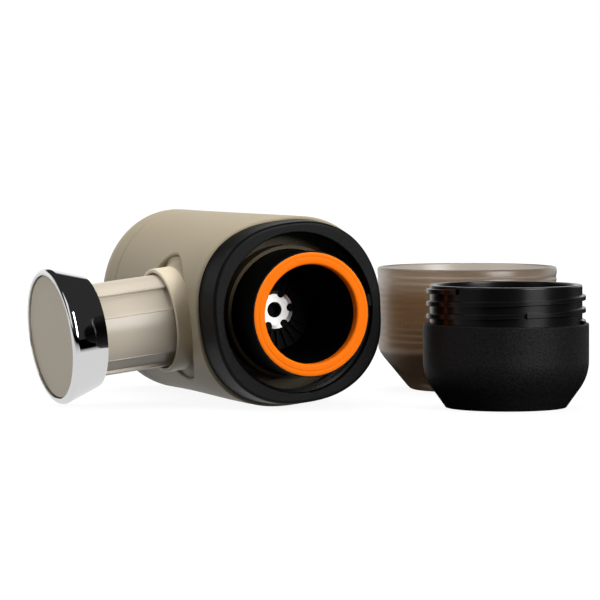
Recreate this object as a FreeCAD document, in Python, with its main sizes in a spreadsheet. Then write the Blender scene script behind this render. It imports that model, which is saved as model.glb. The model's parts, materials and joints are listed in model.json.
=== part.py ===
"""Handheld manual espresso maker for capsules, as a parametric FreeCAD document.

The main unit lies on its side with its mouth towards -Y and its pump piston towards -X.
The outlet head and the drinking cup stand beside it on the same surface, z = 0.

Three local frames are used, each placed in the row by one Placement:
  unit    Y along the body's axis, y = 0 at the shell's lip, mouth towards -Y, piston towards -X
  piston  Z along the piston's axis, z = 0 on the body's axis, knob towards +Z, X up
  upright Z up, z = 0 on the table, for the outlet head and for the cup
"""
import FreeCAD, Part
import math
import os
import Sketcher
from FreeCAD import Placement, Rotation, Vector

doc = FreeCAD.newDocument("EspressoMaker")

# ---------------------------------------------------------------- driving dimensions

DIMENSIONS = [
    # where the three groups stand
    ("unit_x", -22.1, "body axis, across the row"),
    ("unit_y", -27.25, "shell lip, along the row"),
    ("head_x", 39.2, "outlet head centre"),
    ("head_y", -58.75, "outlet head centre"),
    ("cup_x", 62.65, "cup centre"),
    ("cup_y", 17.25, "cup centre"),
    ("piston_tilt", 6.7, "degrees that the unit is rolled, so that the knob comes down to the table"),
    # body shell and tank
    ("shell_radius", 30.0, "half the unit's height"),
    ("lip_half_width", 30.5, "half width of the full section at the lip"),
    ("lip_half_height", 29.65, "half height of the full section at the lip"),
    ("far_half_width", 26.2, "half width of the oval section at the tank"),
    ("shell_wall", 2.0, "wall of shell and tank"),
    ("seam_y", 84.0, "where the shell ends and the tank begins"),
    ("seam_gap", 0.3, "gap between shell and tank"),
    ("unit_length", 112.0, "lip to the tank's end"),
    ("end_rounding", 21.4, "rounding of the tank's end"),
    ("bulkhead_thickness", 4.0, "plate that closes the shell"),
    ("spigot_radius", 20.0, "round neck that the tank plugs onto"),
    ("spigot_length", 10.0, "length of that neck"),
    ("socket_gap", 0.3, "radial gap between spigot and tank"),
    # mouth
    ("lip_ring", 0.95, "width of the shell's lip that shows round the black band"),
    ("collar_taper", 1.2, "how much narrower the band is at its front than at the lip"),
    ("collar_radius", 27.1, "the band's round tail inside the shell"),
    ("collar_bore", 25.1, "bore that takes the outlet head's thread"),
    ("collar_front", 9.9, "collar's front ahead of the lip"),
    ("collar_back", 2.6, "collar's back behind the lip"),
    ("sleeve_radius", 21.0, "inner sleeve that the outlet head's neck slides over"),
    ("sleeve_front", 2.9, "inner sleeve's front ahead of the lip"),
    ("plate_thickness", 2.4, "plate of the inner frame"),
    ("chamber_radius", 19.6, "outside of the capsule chamber"),
    ("capsule_radius", 15.5, "bore for the capsule"),
    ("gasket_front", 19.9, "gasket's face ahead of the lip"),
    ("gasket_thickness", 3.0, "depth of the gasket"),
    ("chamber_floor", 11.0, "floor of the chamber behind the lip"),
    ("chamber_end", 12.2, "back of the chamber"),
    ("cutter_radius", 6.0, "piercing plate"),
    ("screw_circle", 24.3, "radius on which the chassis screws stand"),
    # pump
    ("piston_y", 30.0, "piston axis behind the lip"),
    ("rod_radius", 14.7, "fluted piston rod"),
    ("rod_wall", 2.0, "wall of the hollow rod"),
    ("flute_depth", 1.0, "depth of the rod's four flutes"),
    ("flute_angle", 31.0, "degrees that each flute takes"),
    ("running_gap", 0.05, "radial clearance of sliding fits"),
    ("guide_radius", 16.6, "outside of the guide collar"),
    ("guide_mouth", 31.8, "guide collar's mouth from the body axis"),
    ("pocket_radius", 19.4, "recess round the guide collar"),
    ("pocket_floor", 25.3, "radius of the recess floor about the body axis"),
    ("knob_rear_radius", 17.8, "back edge of the knob ring"),
    ("knob_radius", 21.6, "front edge of the knob ring"),
    ("knob_rear", 55.8, "back edge of the knob ring from the body axis"),
    ("knob_front", 68.5, "front edge of the knob ring from the body axis"),
    ("knob_disc_radius", 19.5, "disc in the knob"),
    ("stroke", 28.8, "travel of the piston"),
    ("pump_bore", 8.0, "bore of the pump cylinder"),
    ("liner_radius", 9.8, "outside of the pump cylinder"),
    ("block_radius", 17.4, "outside of the pump block"),
    ("block_floor", -12.0, "floor of the cavity that the rod sinks into"),
    ("block_base", -20.5, "underside of the pump block"),
    ("port_z", -16.2, "height of the two valve ports"),
    ("ball_radius", 1.8, "valve balls"),
    # outlet head
    ("head_height", 38.5, "outlet head, base to rim"),
    ("head_radius", 26.0, "skirt of the outlet head"),
    ("head_shoulder", 26.4, "height of the shoulder under the thread"),
    ("head_base_radius", 18.9, "flat base of the outlet head"),
    ("neck_radius", 23.9, "threaded neck, without its thread"),
    ("neck_bore", 21.5, "hollow of the outlet head"),
    ("head_floor", 15.4, "floor of that hollow"),
    # cup
    ("cup_radius", 29.9, "cup's rim"),
    ("cup_height", 40.8, "cup's height"),
    ("cup_wall", 1.6, "cup's wall"),
    ("cup_base_radius", 18.6, "cup's foot"),
    ("cup_cone_height", 13.0, "where the cup's straight wall begins"),
]


class Length:
    """A size with its value and the spreadsheet formula that gives it."""

    def __init__(self, value, formula=None):
        self.value = float(value)
        self.formula = formula or repr(float(value))

    def __add__(self, other):
        other = length(other)
        return Length(self.value + other.value, f"({self.formula} + {other.formula})")

    def __sub__(self, other):
        other = length(other)
        return Length(self.value - other.value, f"({self.formula} - {other.formula})")

    def __mul__(self, factor):
        return Length(self.value * factor, f"({self.formula} * {factor!r})")

    def __neg__(self):
        return self * -1.0

    def __radd__(self, other):
        return length(other) + self

    def __rsub__(self, other):
        return length(other) - self

    __rmul__ = __mul__


def length(size):
    return size if isinstance(size, Length) else Length(size)


class Sizes:
    """The spreadsheet's aliases as attributes, each a Length."""


def make_sheet():
    sheet = doc.addObject("Spreadsheet::Sheet", "Sizes")
    sizes = Sizes()
    for row, (alias, value, meaning) in enumerate(DIMENSIONS, start=1):
        sheet.set(f"A{row}", meaning)
        sheet.set(f"B{row}", str(value))
        sheet.setAlias(f"B{row}", alias)
        setattr(sizes, alias, Length(value, f"Sizes.{alias}"))
    doc.recompute()
    return sizes


dim = make_sheet()

UNIT = Placement(
    Vector(dim.unit_x.value, dim.unit_y.value, dim.shell_radius.value),
    Rotation(Vector(0, 1, 0), -dim.piston_tilt.value),
)
PISTON = UNIT * Placement(Vector(0, dim.piston_y.value, 0), Rotation(Vector(0, 1, 0), -90))
HEAD = Placement(Vector(dim.head_x.value, dim.head_y.value, 0), Rotation())
CUP = Placement(Vector(dim.cup_x.value, dim.cup_y.value, 0), Rotation())

# ---------------------------------------------------------------- smaller sizes

# body shell and tank
OVAL_POINTS = 16
LIP_POWER = 2.43
RECESS_RIM_RADIUS = 0.9
LIP_EDGE_RADIUS = 0.6
FLARE_START = 22.1
FLARE_BEND = 9.0
FLARE_ANGLE = 65.0
BOSS_CONE_START = 22.9
BOSS_CONE_SLOPE = 0.74
TOOL_REACH = 40.0
ORING_RADIUS = 0.78
ORING_SETBACK = 4.4
VENT_DROP = 10.0
VENT_STEM = 1.1
SUCTION_END = 100.0
SUCTION_RADIUS = 2.0
SUCTION_BORE = 1.2

# mouth collar and inner frame
LIP_GAP = 0.05
BAND_EDGE_RADIUS = 1.0
BORE_EDGE_RADIUS = 0.4
LUG_HEIGHT = 3.6
LUG_REACH = 0.9
LUG_DEPTH = 3.0
LUG_DROP = 1.2
COLLAR_SCREWS = (80.0, 200.0, 320.0)
COLLAR_SCREW_CIRCLE = 26.1
FRAME_PLATE_RADIUS = 27.2
FRAME_POST_RADIUS = 2.2
SCREW_HOLE = 0.9
SCREW_SHANK = 0.85
SCREW_HEAD = 2.4

# capsule chamber
GASKET_RADIUS = dim.chamber_radius - 0.65
GASKET_STEP = 17.7
WATER_HOLE = 2.0
CUTTER_SEAT = 6.2
CUTTER_LOBES = 6
SEAT_RIBS = 24
CHAMBER_FLOOR_RADIUS = 13.0
CONE_START = -5.0
SEAL_THICKNESS = 0.36

# pump: heights are along the piston's axis, from the body's axis
CHASSIS_SCREWS = (0.0, 120.0, 240.0)
CHASSIS_FRONT = dim.chamber_end + 0.4
CHASSIS_RADIUS = 23.1
CHASSIS_THICKNESS = 0.7
CHASSIS_EAR_RADIUS = 2.6
FLUTES = 4
FLUTE_TURN = 34.5
GUIDE_TAIL = 12.4
STOP_SHOULDER = 20.5
KEY_START = 21.0
KEY_END = 28.0
SOCKET_TOP = 15.0
ROD_BOTTOM = 18.0
ROD_TOP = 61.6
ROD_CAP = 2.0
PLUNGER_TIP = 10.4
PLUNGER_SCREW_HOLE = 1.6
LINER_TOP = 13.0
LINER_FOOT = 1.5
SPRING_TURNS = 6
SPRING_RADIUS = 11.2
SPRING_WIRE = 0.55
PORT_RADIUS = 0.9
PORT_LENGTH = 10.0
VALVE_POCKET = 2.4
POCKET_LENGTH = 6.0
CAGE_THICKNESS = 0.6
INLET_SEAT = 15.6
OUTLET_SPRING_RADIUS = 1.3
OUTLET_SPRING_WIRE = 0.12
OUTLET_SPRING_TURNS = 3

# outlet head
SHELL_CONE_RADIUS = 22.6
SHELL_CONE_HEIGHT = 5.2
SHELL_CURVE_HEIGHT = 9.8
NECK_UNDERSIDE = 11.4
SPOUT_RADIUS = 6.0
SPOUT_BORE = 2.5
SCREEN_RADIUS = 18.0
SCREEN_THICKNESS = 0.8
SCREEN_HOLE = 0.7
SCREEN_PITCH = 4.4
SCREEN_RINGS = (1, 2, 3)

parts = []


# ---------------------------------------------------------------- helpers


def bind(target, prop, size):
    """Bind a property or a sketch constraint to the sheet."""
    if "Sizes." in size.formula:
        target.setExpression(prop, size.formula)


def start_body(name, placement):
    body = doc.addObject("PartDesign::Body", name)
    body.Label = name
    body.Placement = placement
    parts.append(body)
    return body


def origin_feature(body, role):
    return next(f for f in body.Origin.OriginFeatures if f.Role == role)


def start_sketch(body, role, offset=0.0):
    """A sketch on one of the body's origin planes, moved along the plane's normal by offset."""
    sketch = body.newObject("Sketcher::SketchObject", f"{body.Name}_sketch")
    sketch.AttachmentSupport = (origin_feature(body, role), [""])
    sketch.MapMode = "FlatFace"
    offset = length(offset)
    sketch.AttachmentOffset = Placement(Vector(0, 0, offset.value), Rotation())
    bind(sketch, ".AttachmentOffset.Base.z", offset)
    return sketch


def fix_point(sketch, edge, end, x, y):
    """Fix one end of a sketch edge by its distances from the origin."""
    for kind, axis, size in (("DistanceX", -2, x), ("DistanceY", -1, y)):
        if abs(size.value) < 1e-9:
            sketch.addConstraint(Sketcher.Constraint("PointOnObject", edge, end, axis))
            continue
        index = sketch.addConstraint(Sketcher.Constraint(kind, -1, 1, edge, end, size.value))
        bind(sketch, f"Constraints[{index}]", size)


def outline_sketch(body, role, points, offset=0.0):
    """A closed outline of straight lines through points, each fixed from the sheet."""
    sketch = start_sketch(body, role, offset)
    points = [(length(x), length(y)) for x, y in points]
    count = len(points)
    for i, (x, y) in enumerate(points):
        end_x, end_y = points[(i + 1) % count]
        start = Vector(x.value, y.value, 0)
        sketch.addGeometry(Part.LineSegment(start, Vector(end_x.value, end_y.value, 0)), False)
    for i in range(count):
        sketch.addConstraint(Sketcher.Constraint("Coincident", i, 2, (i + 1) % count, 1))
    for i, (x, y) in enumerate(points):
        fix_point(sketch, i, 1, x, y)
    return sketch


def circle_sketch(body, role, circles, offset=0.0):
    """Circles, each given as (x, y, radius)."""
    sketch = start_sketch(body, role, offset)
    for index, (x, y, radius) in enumerate(circles):
        x, y, radius = length(x), length(y), length(radius)
        circle = Part.Circle(Vector(x.value, y.value, 0), Vector(0, 0, 1), radius.value)
        sketch.addGeometry(circle, False)
        size = sketch.addConstraint(Sketcher.Constraint("Radius", index, radius.value))
        bind(sketch, f"Constraints[{size}]", radius)
        fix_point(sketch, index, 3, x, y)
    return sketch


def ellipse_sketch(body, half_width, half_height, offset):
    """An upright oval across the unit's axis; x is the short way and y the tall way."""
    sketch = start_sketch(body, "XZ_Plane", offset)
    top = Vector(0, half_height.value, 0)
    side = Vector(half_width.value, 0, 0)
    sketch.addGeometry(Part.Ellipse(top, side, Vector()), False)
    sketch.exposeInternalGeometry(0)
    sketch.addConstraint(Sketcher.Constraint("Coincident", 0, 3, -1, 1))
    sketch.addConstraint(Sketcher.Constraint("PointOnObject", 1, 1, -2))
    for axis, half in ((1, half_height), (2, half_width)):
        across = sketch.addConstraint(Sketcher.Constraint("Distance", axis, 2.0 * half.value))
        bind(sketch, f"Constraints[{across}]", half * 2.0)
    return sketch


def revolve(body, role, points, kind="Revolution", angle=360.0):
    """Turn an outline of (radius, height) points about the sketch's vertical axis."""
    sketch = outline_sketch(body, role, points)
    feature = body.newObject(f"PartDesign::{kind}", f"{body.Name}_{kind}")
    feature.Profile = sketch
    feature.ReferenceAxis = (sketch, ["V_Axis"])
    angle = length(angle)
    feature.Angle = angle.value
    bind(feature, "Angle", angle)
    feature.Midplane = angle.value < 360.0
    sketch.Visibility = False
    doc.recompute()
    return feature


def turned(name, placement, points, role="XZ_Plane"):
    """A body turned from one outline: about Z from the XZ plane, about Y from the XY plane."""
    body = start_body(name, placement)
    revolve(body, role, points)
    return body


def extrude(body, sketch, size, kind="Pad", reverse=False):
    feature = body.newObject(f"PartDesign::{kind}", f"{body.Name}_{kind}")
    feature.Profile = sketch
    size = length(size)
    feature.Length = size.value
    bind(feature, "Length", size)
    feature.Reversed = reverse
    sketch.Visibility = False
    doc.recompute()
    return feature


def polar(body, features, axis, count):
    pattern = body.newObject("PartDesign::PolarPattern", f"{body.Name}_pattern")
    pattern.Originals = features
    pattern.Axis = (origin_feature(body, axis), [""])
    pattern.Angle = 360
    pattern.Occurrences = count
    body.Tip = pattern
    doc.recompute()
    return pattern


def circle_edges(shape, radius, height, axis):
    """Names of the full-circle edges with this radius at this height along an axis (0, 1 or 2)."""
    names = []
    for number, edge in enumerate(shape.Edges, start=1):
        curve = edge.Curve
        if not isinstance(curve, Part.Circle):
            continue
        if abs(curve.Radius - radius) < 0.02 and abs(curve.Center[axis] - height) < 0.02:
            names.append(f"Edge{number}")
    return names


def soften(body, size, circles, axis=2, kind="Fillet"):
    """Fillet or chamfer the circular edges given as (radius, height)."""
    names = []
    for radius, height in circles:
        found = circle_edges(body.Tip.Shape, length(radius).value, length(height).value, axis)
        if not found:
            raise ValueError(f"{body.Name}: no edge of radius {radius} at {height}")
        names += found
    feature = body.newObject(f"PartDesign::{kind}", f"{body.Name}_{kind}")
    feature.Base = (feature.BaseFeature, names)
    setattr(feature, "Radius" if kind == "Fillet" else "Size", size)
    doc.recompute()
    return feature


def cylinder(name, radius, height, placement):
    solid = doc.addObject("Part::Cylinder", name)
    for prop, size in (("Radius", length(radius)), ("Height", length(height))):
        setattr(solid, prop, size.value)
        bind(solid, prop, size)
    solid.Placement = placement
    return solid


def boolean(kind, name, base, tool):
    result = doc.addObject(f"Part::{kind}", name)
    result.Base = base
    result.Tool = tool
    # faces stay as the boolean leaves them, because merging them spoils the recess's wall
    result.Refine = False
    return result


# ---------------------------------------------------------------- body shell and water tank


def full_oval(half_width, half_height, power, y):
    """A smooth closed wire across the unit's axis; a power above 2 gives an oval fuller corners."""
    points = []
    for step in range(OVAL_POINTS):
        turn = 2.0 * math.pi * step / OVAL_POINTS
        across, up = math.cos(turn), math.sin(turn)
        reach = abs(across / half_width) ** power + abs(up / half_height) ** power
        reach = reach ** (-1.0 / power)
        points.append(Vector(reach * across, y, reach * up))
    curve = Part.BSplineCurve()
    curve.interpolate(Points=points, PeriodicFlag=True)
    return Part.Wire(curve.toShape())


def loft(name, wires):
    sections = []
    for wire in wires:
        section = doc.addObject("Part::Feature", f"{name}_section")
        section.Shape = wire
        sections.append(section)
    solid = doc.addObject("Part::Loft", name)
    solid.Sections = sections
    solid.Solid = True
    solid.Ruled = len(sections) == 2
    return solid


def oval_form(name, inset, start, end):
    """The unit's outer form, or one inset from it: a full oval at the lip, a plain one at the seam."""
    wires = []
    # the section eases from one oval to the other, level at both ends
    for share in (0.0, 0.25, 0.5, 0.75, 1.0):
        eased = share * share * (3.0 - 2.0 * share)
        half_width = dim.lip_half_width.value * (1.0 - eased) + dim.far_half_width.value * eased
        half_height = dim.lip_half_height.value * (1.0 - eased) + dim.shell_radius.value * eased
        power = LIP_POWER * (1.0 - eased) + 2.0 * eased
        station = start + (end - start) * share
        wires.append(full_oval(half_width - inset, half_height - inset, power, station))
    return loft(name, wires)


def on_flare(angle):
    """A point of the recess's outline, where its wall has turned outwards by this angle."""
    across = dim.pocket_radius.value + FLARE_BEND * (1.0 - math.cos(angle))
    return Vector(across, 0, FLARE_START + FLARE_BEND * math.sin(angle))


def recess_form(placement):
    """The recess about the piston's axis: a straight wall that flares out to the surface."""
    turn = math.radians(FLARE_ANGLE)
    flare_start = on_flare(0.0)
    flare_end = on_flare(turn)
    far_end = flare_end + Vector(math.sin(turn), 0, math.cos(turn)) * TOOL_REACH
    wall = [Vector(), Vector(flare_start.x, 0, 0), flare_start]
    back = [flare_end, far_end, Vector(0, 0, far_end.z), Vector()]
    edges = [Part.LineSegment(a, b).toShape() for a, b in zip(wall, wall[1:])]
    edges.append(Part.Arc(flare_start, on_flare(turn / 2.0), flare_end).toShape())
    edges += [Part.LineSegment(a, b).toShape() for a, b in zip(back, back[1:])]
    form = doc.addObject("Part::Feature", "pocket_bore")
    form.Shape = Part.Face(Part.Wire(edges)).revolve(Vector(), Vector(0, 0, 1), 360)
    form.Placement = placement
    return form


def boss_form(placement):
    """The outside of the recess's own wall, seen from within the shell: straight, then coned."""
    radius = dim.pocket_radius + dim.shell_wall
    straight = cylinder("boss_wall", radius, TOOL_REACH, placement)
    cone = doc.addObject("Part::Cone", "boss_cone")
    length_of_cone = TOOL_REACH - BOSS_CONE_START
    cone.Radius1 = radius.value
    cone.Radius2 = radius.value + length_of_cone * BOSS_CONE_SLOPE
    cone.Height = length_of_cone
    cone.Placement = placement * Placement(Vector(0, 0, BOSS_CONE_START), Rotation())
    return boolean("Fuse", "boss_bore", straight, cone)


def make_body_shell():
    """Champagne shell with the round recess for the knob's skirt."""
    wall = dim.shell_wall.value
    end = dim.seam_y.value
    outer = oval_form("shell_outside", 0.0, 0.0, end)
    inner = oval_form("shell_inside", wall, -1.0, end + 1.0)
    far_left = Rotation(Vector(0, 1, 0), -90)
    piston_axis = Placement(Vector(0, dim.piston_y.value, 0), far_left)
    along_unit = Placement(Vector(0, -TOOL_REACH, 0), Rotation(Vector(1, 0, 0), -90))
    core_length = dim.seam_y + 2.0 * TOOL_REACH

    pocket_bore = recess_form(piston_axis)
    pocket_core = cylinder("pocket_core", dim.pocket_floor, core_length, along_unit)
    pocket = boolean("Cut", "pocket", pocket_bore, pocket_core)
    boss_bore = boss_form(piston_axis)
    boss_core = cylinder("boss_core", dim.pocket_floor - dim.shell_wall, core_length, along_unit)
    boss = boolean("Cut", "pocket_boss", boss_bore, boss_core)

    hollow = boolean("Cut", "shell_hollow", inner, boss)
    recessed = boolean("Cut", "shell_recessed", outer, pocket)
    walled = boolean("Cut", "shell_walled", recessed, hollow)
    guide_hole = cylinder("guide_hole", dim.guide_radius + 0.1, TOOL_REACH, piston_axis)
    bored = boolean("Cut", "shell_bored", walled, guide_hole)
    doc.recompute()

    shell = doc.addObject("Part::Fillet", "body_shell")
    shell.Base = bored
    shell.Edges = [(number, size, size) for number, size in shell_edges(bored.Shape)]
    shell.Label = "body_shell"
    shell.Placement = UNIT
    parts.append(shell)
    return shell


def shell_edges(shape):
    """The recess's rim and the lip's outer edge, with the radius that rounds each."""
    chosen = []
    for number, edge in enumerate(shape.Edges, start=1):
        box = edge.BoundBox
        at_lip = box.YLength < 0.01 and abs(box.YMin) < 0.01
        if at_lip and box.ZMax > dim.lip_half_height.value - 0.5:
            chosen.append((number, LIP_EDGE_RADIUS))
        elif on_pocket_wall(edge) and outside_of_floor(edge):
            chosen.append((number, RECESS_RIM_RADIUS))
    return chosen


def recess_radius(height):
    """The recess's radius at a distance from the body's axis."""
    bore = dim.pocket_radius.value
    rise = (height - FLARE_START) / FLARE_BEND
    turn = math.radians(FLARE_ANGLE)
    if rise <= 0.0:
        return bore
    if rise < math.sin(turn):
        return bore + FLARE_BEND * (1.0 - math.sqrt(1.0 - rise * rise))
    past_bend = FLARE_BEND * (rise - math.sin(turn))
    return bore + FLARE_BEND * (1.0 - math.cos(turn)) + past_bend * math.tan(turn)


def on_pocket_wall(edge):
    """True for an edge whose points all lie on the recess's wall, and that isn't a seam of it."""
    if edge.BoundBox.XLength < 0.01 or edge.BoundBox.YLength < 0.01:
        return False
    for share in (0.0, 0.3, 0.6, 1.0):
        first, last = edge.ParameterRange
        point = edge.valueAt(first + share * (last - first))
        radius = math.hypot(point.y - dim.piston_y.value, point.z)
        if point.x > 0 or abs(radius - recess_radius(-point.x)) > 0.05:
            return False
    return True


def outside_of_floor(edge):
    """True where the edge lies on the shell's outside and not on the recess's floor."""
    first, last = edge.ParameterRange
    point = edge.valueAt((first + last) / 2.0)
    return math.hypot(point.x, point.z) > dim.pocket_floor.value + 0.5


def make_water_tank():
    """Oval end cap: one large rounding, a thin wall, and a socket for the spigot."""
    body = start_body("water_tank", UNIT)
    front = dim.seam_y + dim.seam_gap
    outside = ellipse_sketch(body, dim.far_half_width, dim.shell_radius, -front)
    extrude(body, outside, dim.unit_length - front, reverse=True)
    round_far_end(body, dim.unit_length, dim.end_rounding)
    hollow = body.newObject("PartDesign::Thickness", "water_tank_hollow")
    hollow.Base = (hollow.BaseFeature, [flat_face(hollow.BaseFeature.Shape, front.value)])
    hollow.Value = dim.shell_wall.value
    hollow.Reversed = True
    bind(hollow, "Value", dim.shell_wall)
    doc.recompute()
    rim = circle_and_oval(body, front)
    extrude(body, rim, dim.shell_wall, reverse=True)
    socket = dim.spigot_radius + dim.socket_gap
    tube = [(0, 0, socket), (0, 0, socket + dim.shell_wall)]
    extrude(body, circle_sketch(body, "XZ_Plane", tube, -front), dim.spigot_length, reverse=True)
    return body


def circle_and_oval(body, front):
    """The tank's rim: the oval with the spigot's hole in it."""
    inset = dim.shell_wall * 0.5
    across = dim.far_half_width - inset
    sketch = ellipse_sketch(body, across, dim.shell_radius - inset, -front)
    hole = dim.spigot_radius + dim.socket_gap
    count = sketch.GeometryCount
    sketch.addGeometry(Part.Circle(Vector(), Vector(0, 0, 1), hole.value), False)
    sketch.addConstraint(Sketcher.Constraint("Coincident", count, 3, -1, 1))
    index = sketch.addConstraint(Sketcher.Constraint("Radius", count, hole.value))
    bind(sketch, f"Constraints[{index}]", hole)
    return sketch


def flat_face(shape, height):
    """Name of the flat face across the unit's axis at this height."""
    for number, face in enumerate(shape.Faces, start=1):
        box = face.BoundBox
        if box.YLength < 0.01 and abs(box.YMin - height) < 0.01:
            return f"Face{number}"
    raise ValueError(f"no flat face at {height}")


def round_far_end(body, height, radius):
    """Round the oval edge at this height along the unit's axis."""
    names = []
    for number, edge in enumerate(body.Tip.Shape.Edges, start=1):
        box = edge.BoundBox
        if box.YLength < 0.01 and abs(box.YMin - height.value) < 0.01:
            names.append(f"Edge{number}")
    feature = body.newObject("PartDesign::Fillet", f"{body.Name}_end")
    feature.Base = (feature.BaseFeature, names)
    feature.Radius = radius.value
    bind(feature, "Radius", radius)
    doc.recompute()


def make_rear_bulkhead():
    """Plate that closes the shell, with the round spigot, its O-ring groove and two pipe holes."""
    body = start_body("rear_bulkhead", UNIT)
    fit = dim.shell_wall + 0.1
    back = dim.seam_y - 0.05
    plate = ellipse_sketch(body, dim.far_half_width - fit, dim.shell_radius - fit, -back)
    extrude(body, plate, dim.bulkhead_thickness)
    end = dim.seam_y + dim.spigot_length
    groove = dim.spigot_radius - 1.3
    bore = dim.spigot_radius - 3.2
    revolve(
        body,
        "XY_Plane",
        [
            (bore, back - 1.0),
            (dim.spigot_radius, back - 1.0),
            (dim.spigot_radius, end - 5.3),
            (groove, end - 5.3),
            (groove, end - 3.5),
            (dim.spigot_radius, end - 3.5),
            (dim.spigot_radius, end),
            (bore, end),
        ],
    )
    holes = [(-dim.port_z, 0, SUCTION_RADIUS + 0.1), (-VENT_DROP, 0, VENT_STEM + 0.05)]
    sketch = circle_sketch(body, "XZ_Plane", holes, -end)
    depth = dim.spigot_length + dim.bulkhead_thickness + 1.0
    extrude(body, sketch, depth, kind="Pocket", reverse=True)
    return body


def make_tank_seals():
    """O-ring in the spigot's groove, and the mushroom valve that lets air into the tank."""
    end = dim.seam_y + dim.spigot_length
    seal = doc.addObject("Part::Torus", "tank_oring")
    seal.Label = "tank_oring"
    seal.Radius1 = dim.spigot_radius.value - 0.5
    seal.Radius2 = ORING_RADIUS
    in_groove = Placement(Vector(0, end.value - ORING_SETBACK, 0), Rotation(Vector(1, 0, 0), 90))
    seal.Placement = UNIT * in_groove
    parts.append(seal)
    back = dim.seam_y - 0.05
    vent = UNIT * Placement(Vector(-VENT_DROP, back.value, 0), Rotation())
    turned(
        "vent_valve",
        vent,
        [(0, -5.0), (VENT_STEM, -5.0), (VENT_STEM, 0), (3.2, 0), (2.8, 0.7), (0, 1.2)],
        role="XY_Plane",
    )


def make_suction_tube():
    """Pipe from the inlet valve seat to the far end of the tank."""
    start = dim.piston_y + dim.block_radius + 1.0
    body = start_body("suction_tube", UNIT)
    ring = [(-dim.port_z, 0, SUCTION_RADIUS), (-dim.port_z, 0, SUCTION_BORE)]
    extrude(body, circle_sketch(body, "XZ_Plane", ring, -start), SUCTION_END - start, reverse=True)
    return body


# ---------------------------------------------------------------- mouth and capsule chamber


def make_mouth_collar():
    """Black band at the mouth, with a stop lug for the outlet head's thread inside it."""
    front = -dim.collar_front.value
    half_width = dim.lip_half_width.value - dim.lip_ring.value
    half_height = dim.lip_half_height.value - dim.lip_ring.value
    taper = dim.collar_taper.value
    at_lip = full_oval(half_width, half_height, LIP_POWER, -LIP_GAP)
    at_front = full_oval(half_width - taper, half_height - taper * 0.3, LIP_POWER - 0.1, front)
    band = loft("collar_band", [at_lip, at_front])
    along_unit = Rotation(Vector(1, 0, 0), -90)
    tail_start = Placement(Vector(0, -1.0, 0), along_unit)
    tail = cylinder("collar_tail", dim.collar_radius, dim.collar_back + 1.0, tail_start)
    blank = boolean("Fuse", "collar_blank", band, tail)
    bore_start = Placement(Vector(0, front - 1.0, 0), along_unit)
    bore = cylinder("collar_bore_tool", dim.collar_bore, 20.0, bore_start)
    ring = boolean("Cut", "collar_ring", blank, bore)
    doc.recompute()

    rounded = doc.addObject("Part::Fillet", "collar_rounded")
    rounded.Base = ring
    rounded.Edges = [(number, size, size) for number, size in collar_edges(ring.Shape, front)]
    collar = boolean("Fuse", "collar_lugged", rounded, make_stop_lug(front + 0.5, along_unit))
    for across, up, radius in spaced_circles(COLLAR_SCREWS, COLLAR_SCREW_CIRCLE, SCREW_HOLE):
        start = Vector(across.value, dim.collar_back.value - 5.0, up.value)
        hole = cylinder("collar_screw_hole", radius, 6.0, Placement(start, along_unit))
        collar = boolean("Cut", "collar_drilled", collar, hole)
    collar.Label = "mouth_collar"
    collar.Placement = UNIT
    parts.append(collar)
    return collar


def make_stop_lug(front, along_unit):
    """A short block on the collar's bore, at the side away from the piston."""
    start = Placement(Vector(0, front, 0), along_unit)
    blank = cylinder("collar_lug_blank", dim.collar_bore + 0.4, LUG_DEPTH, start)
    bore = cylinder("collar_lug_bore", dim.collar_bore - LUG_REACH, LUG_DEPTH, start)
    ring = boolean("Cut", "collar_lug_ring", blank, bore)
    slab = doc.addObject("Part::Box", "collar_lug_slab")
    slab.Length = dim.collar_bore.value
    slab.Width = LUG_DEPTH
    slab.Height = LUG_HEIGHT
    slab.Placement = Placement(Vector(dim.collar_bore.value - 5.0, front, -LUG_DROP), Rotation())
    return boolean("Common", "collar_lug", ring, slab)


def collar_edges(shape, front):
    """The band's two front edges, with the radius that rounds each."""
    chosen = []
    for number, edge in enumerate(shape.Edges, start=1):
        box = edge.BoundBox
        if box.YLength > 0.01 or abs(box.YMin - front) > 0.01:
            continue
        on_bore = isinstance(edge.Curve, Part.Circle)
        chosen.append((number, BORE_EDGE_RADIUS if on_bore else BAND_EDGE_RADIUS))
    return chosen


def spaced_circles(angles, circle, radius):
    """Circles on a bolt circle, at angles in degrees from the sketch's x axis."""
    circle = length(circle)
    places = []
    for angle in angles:
        turn = math.radians(angle)
        places.append((circle * round(math.cos(turn), 6), circle * round(math.sin(turn), 6), radius))
    return places


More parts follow.
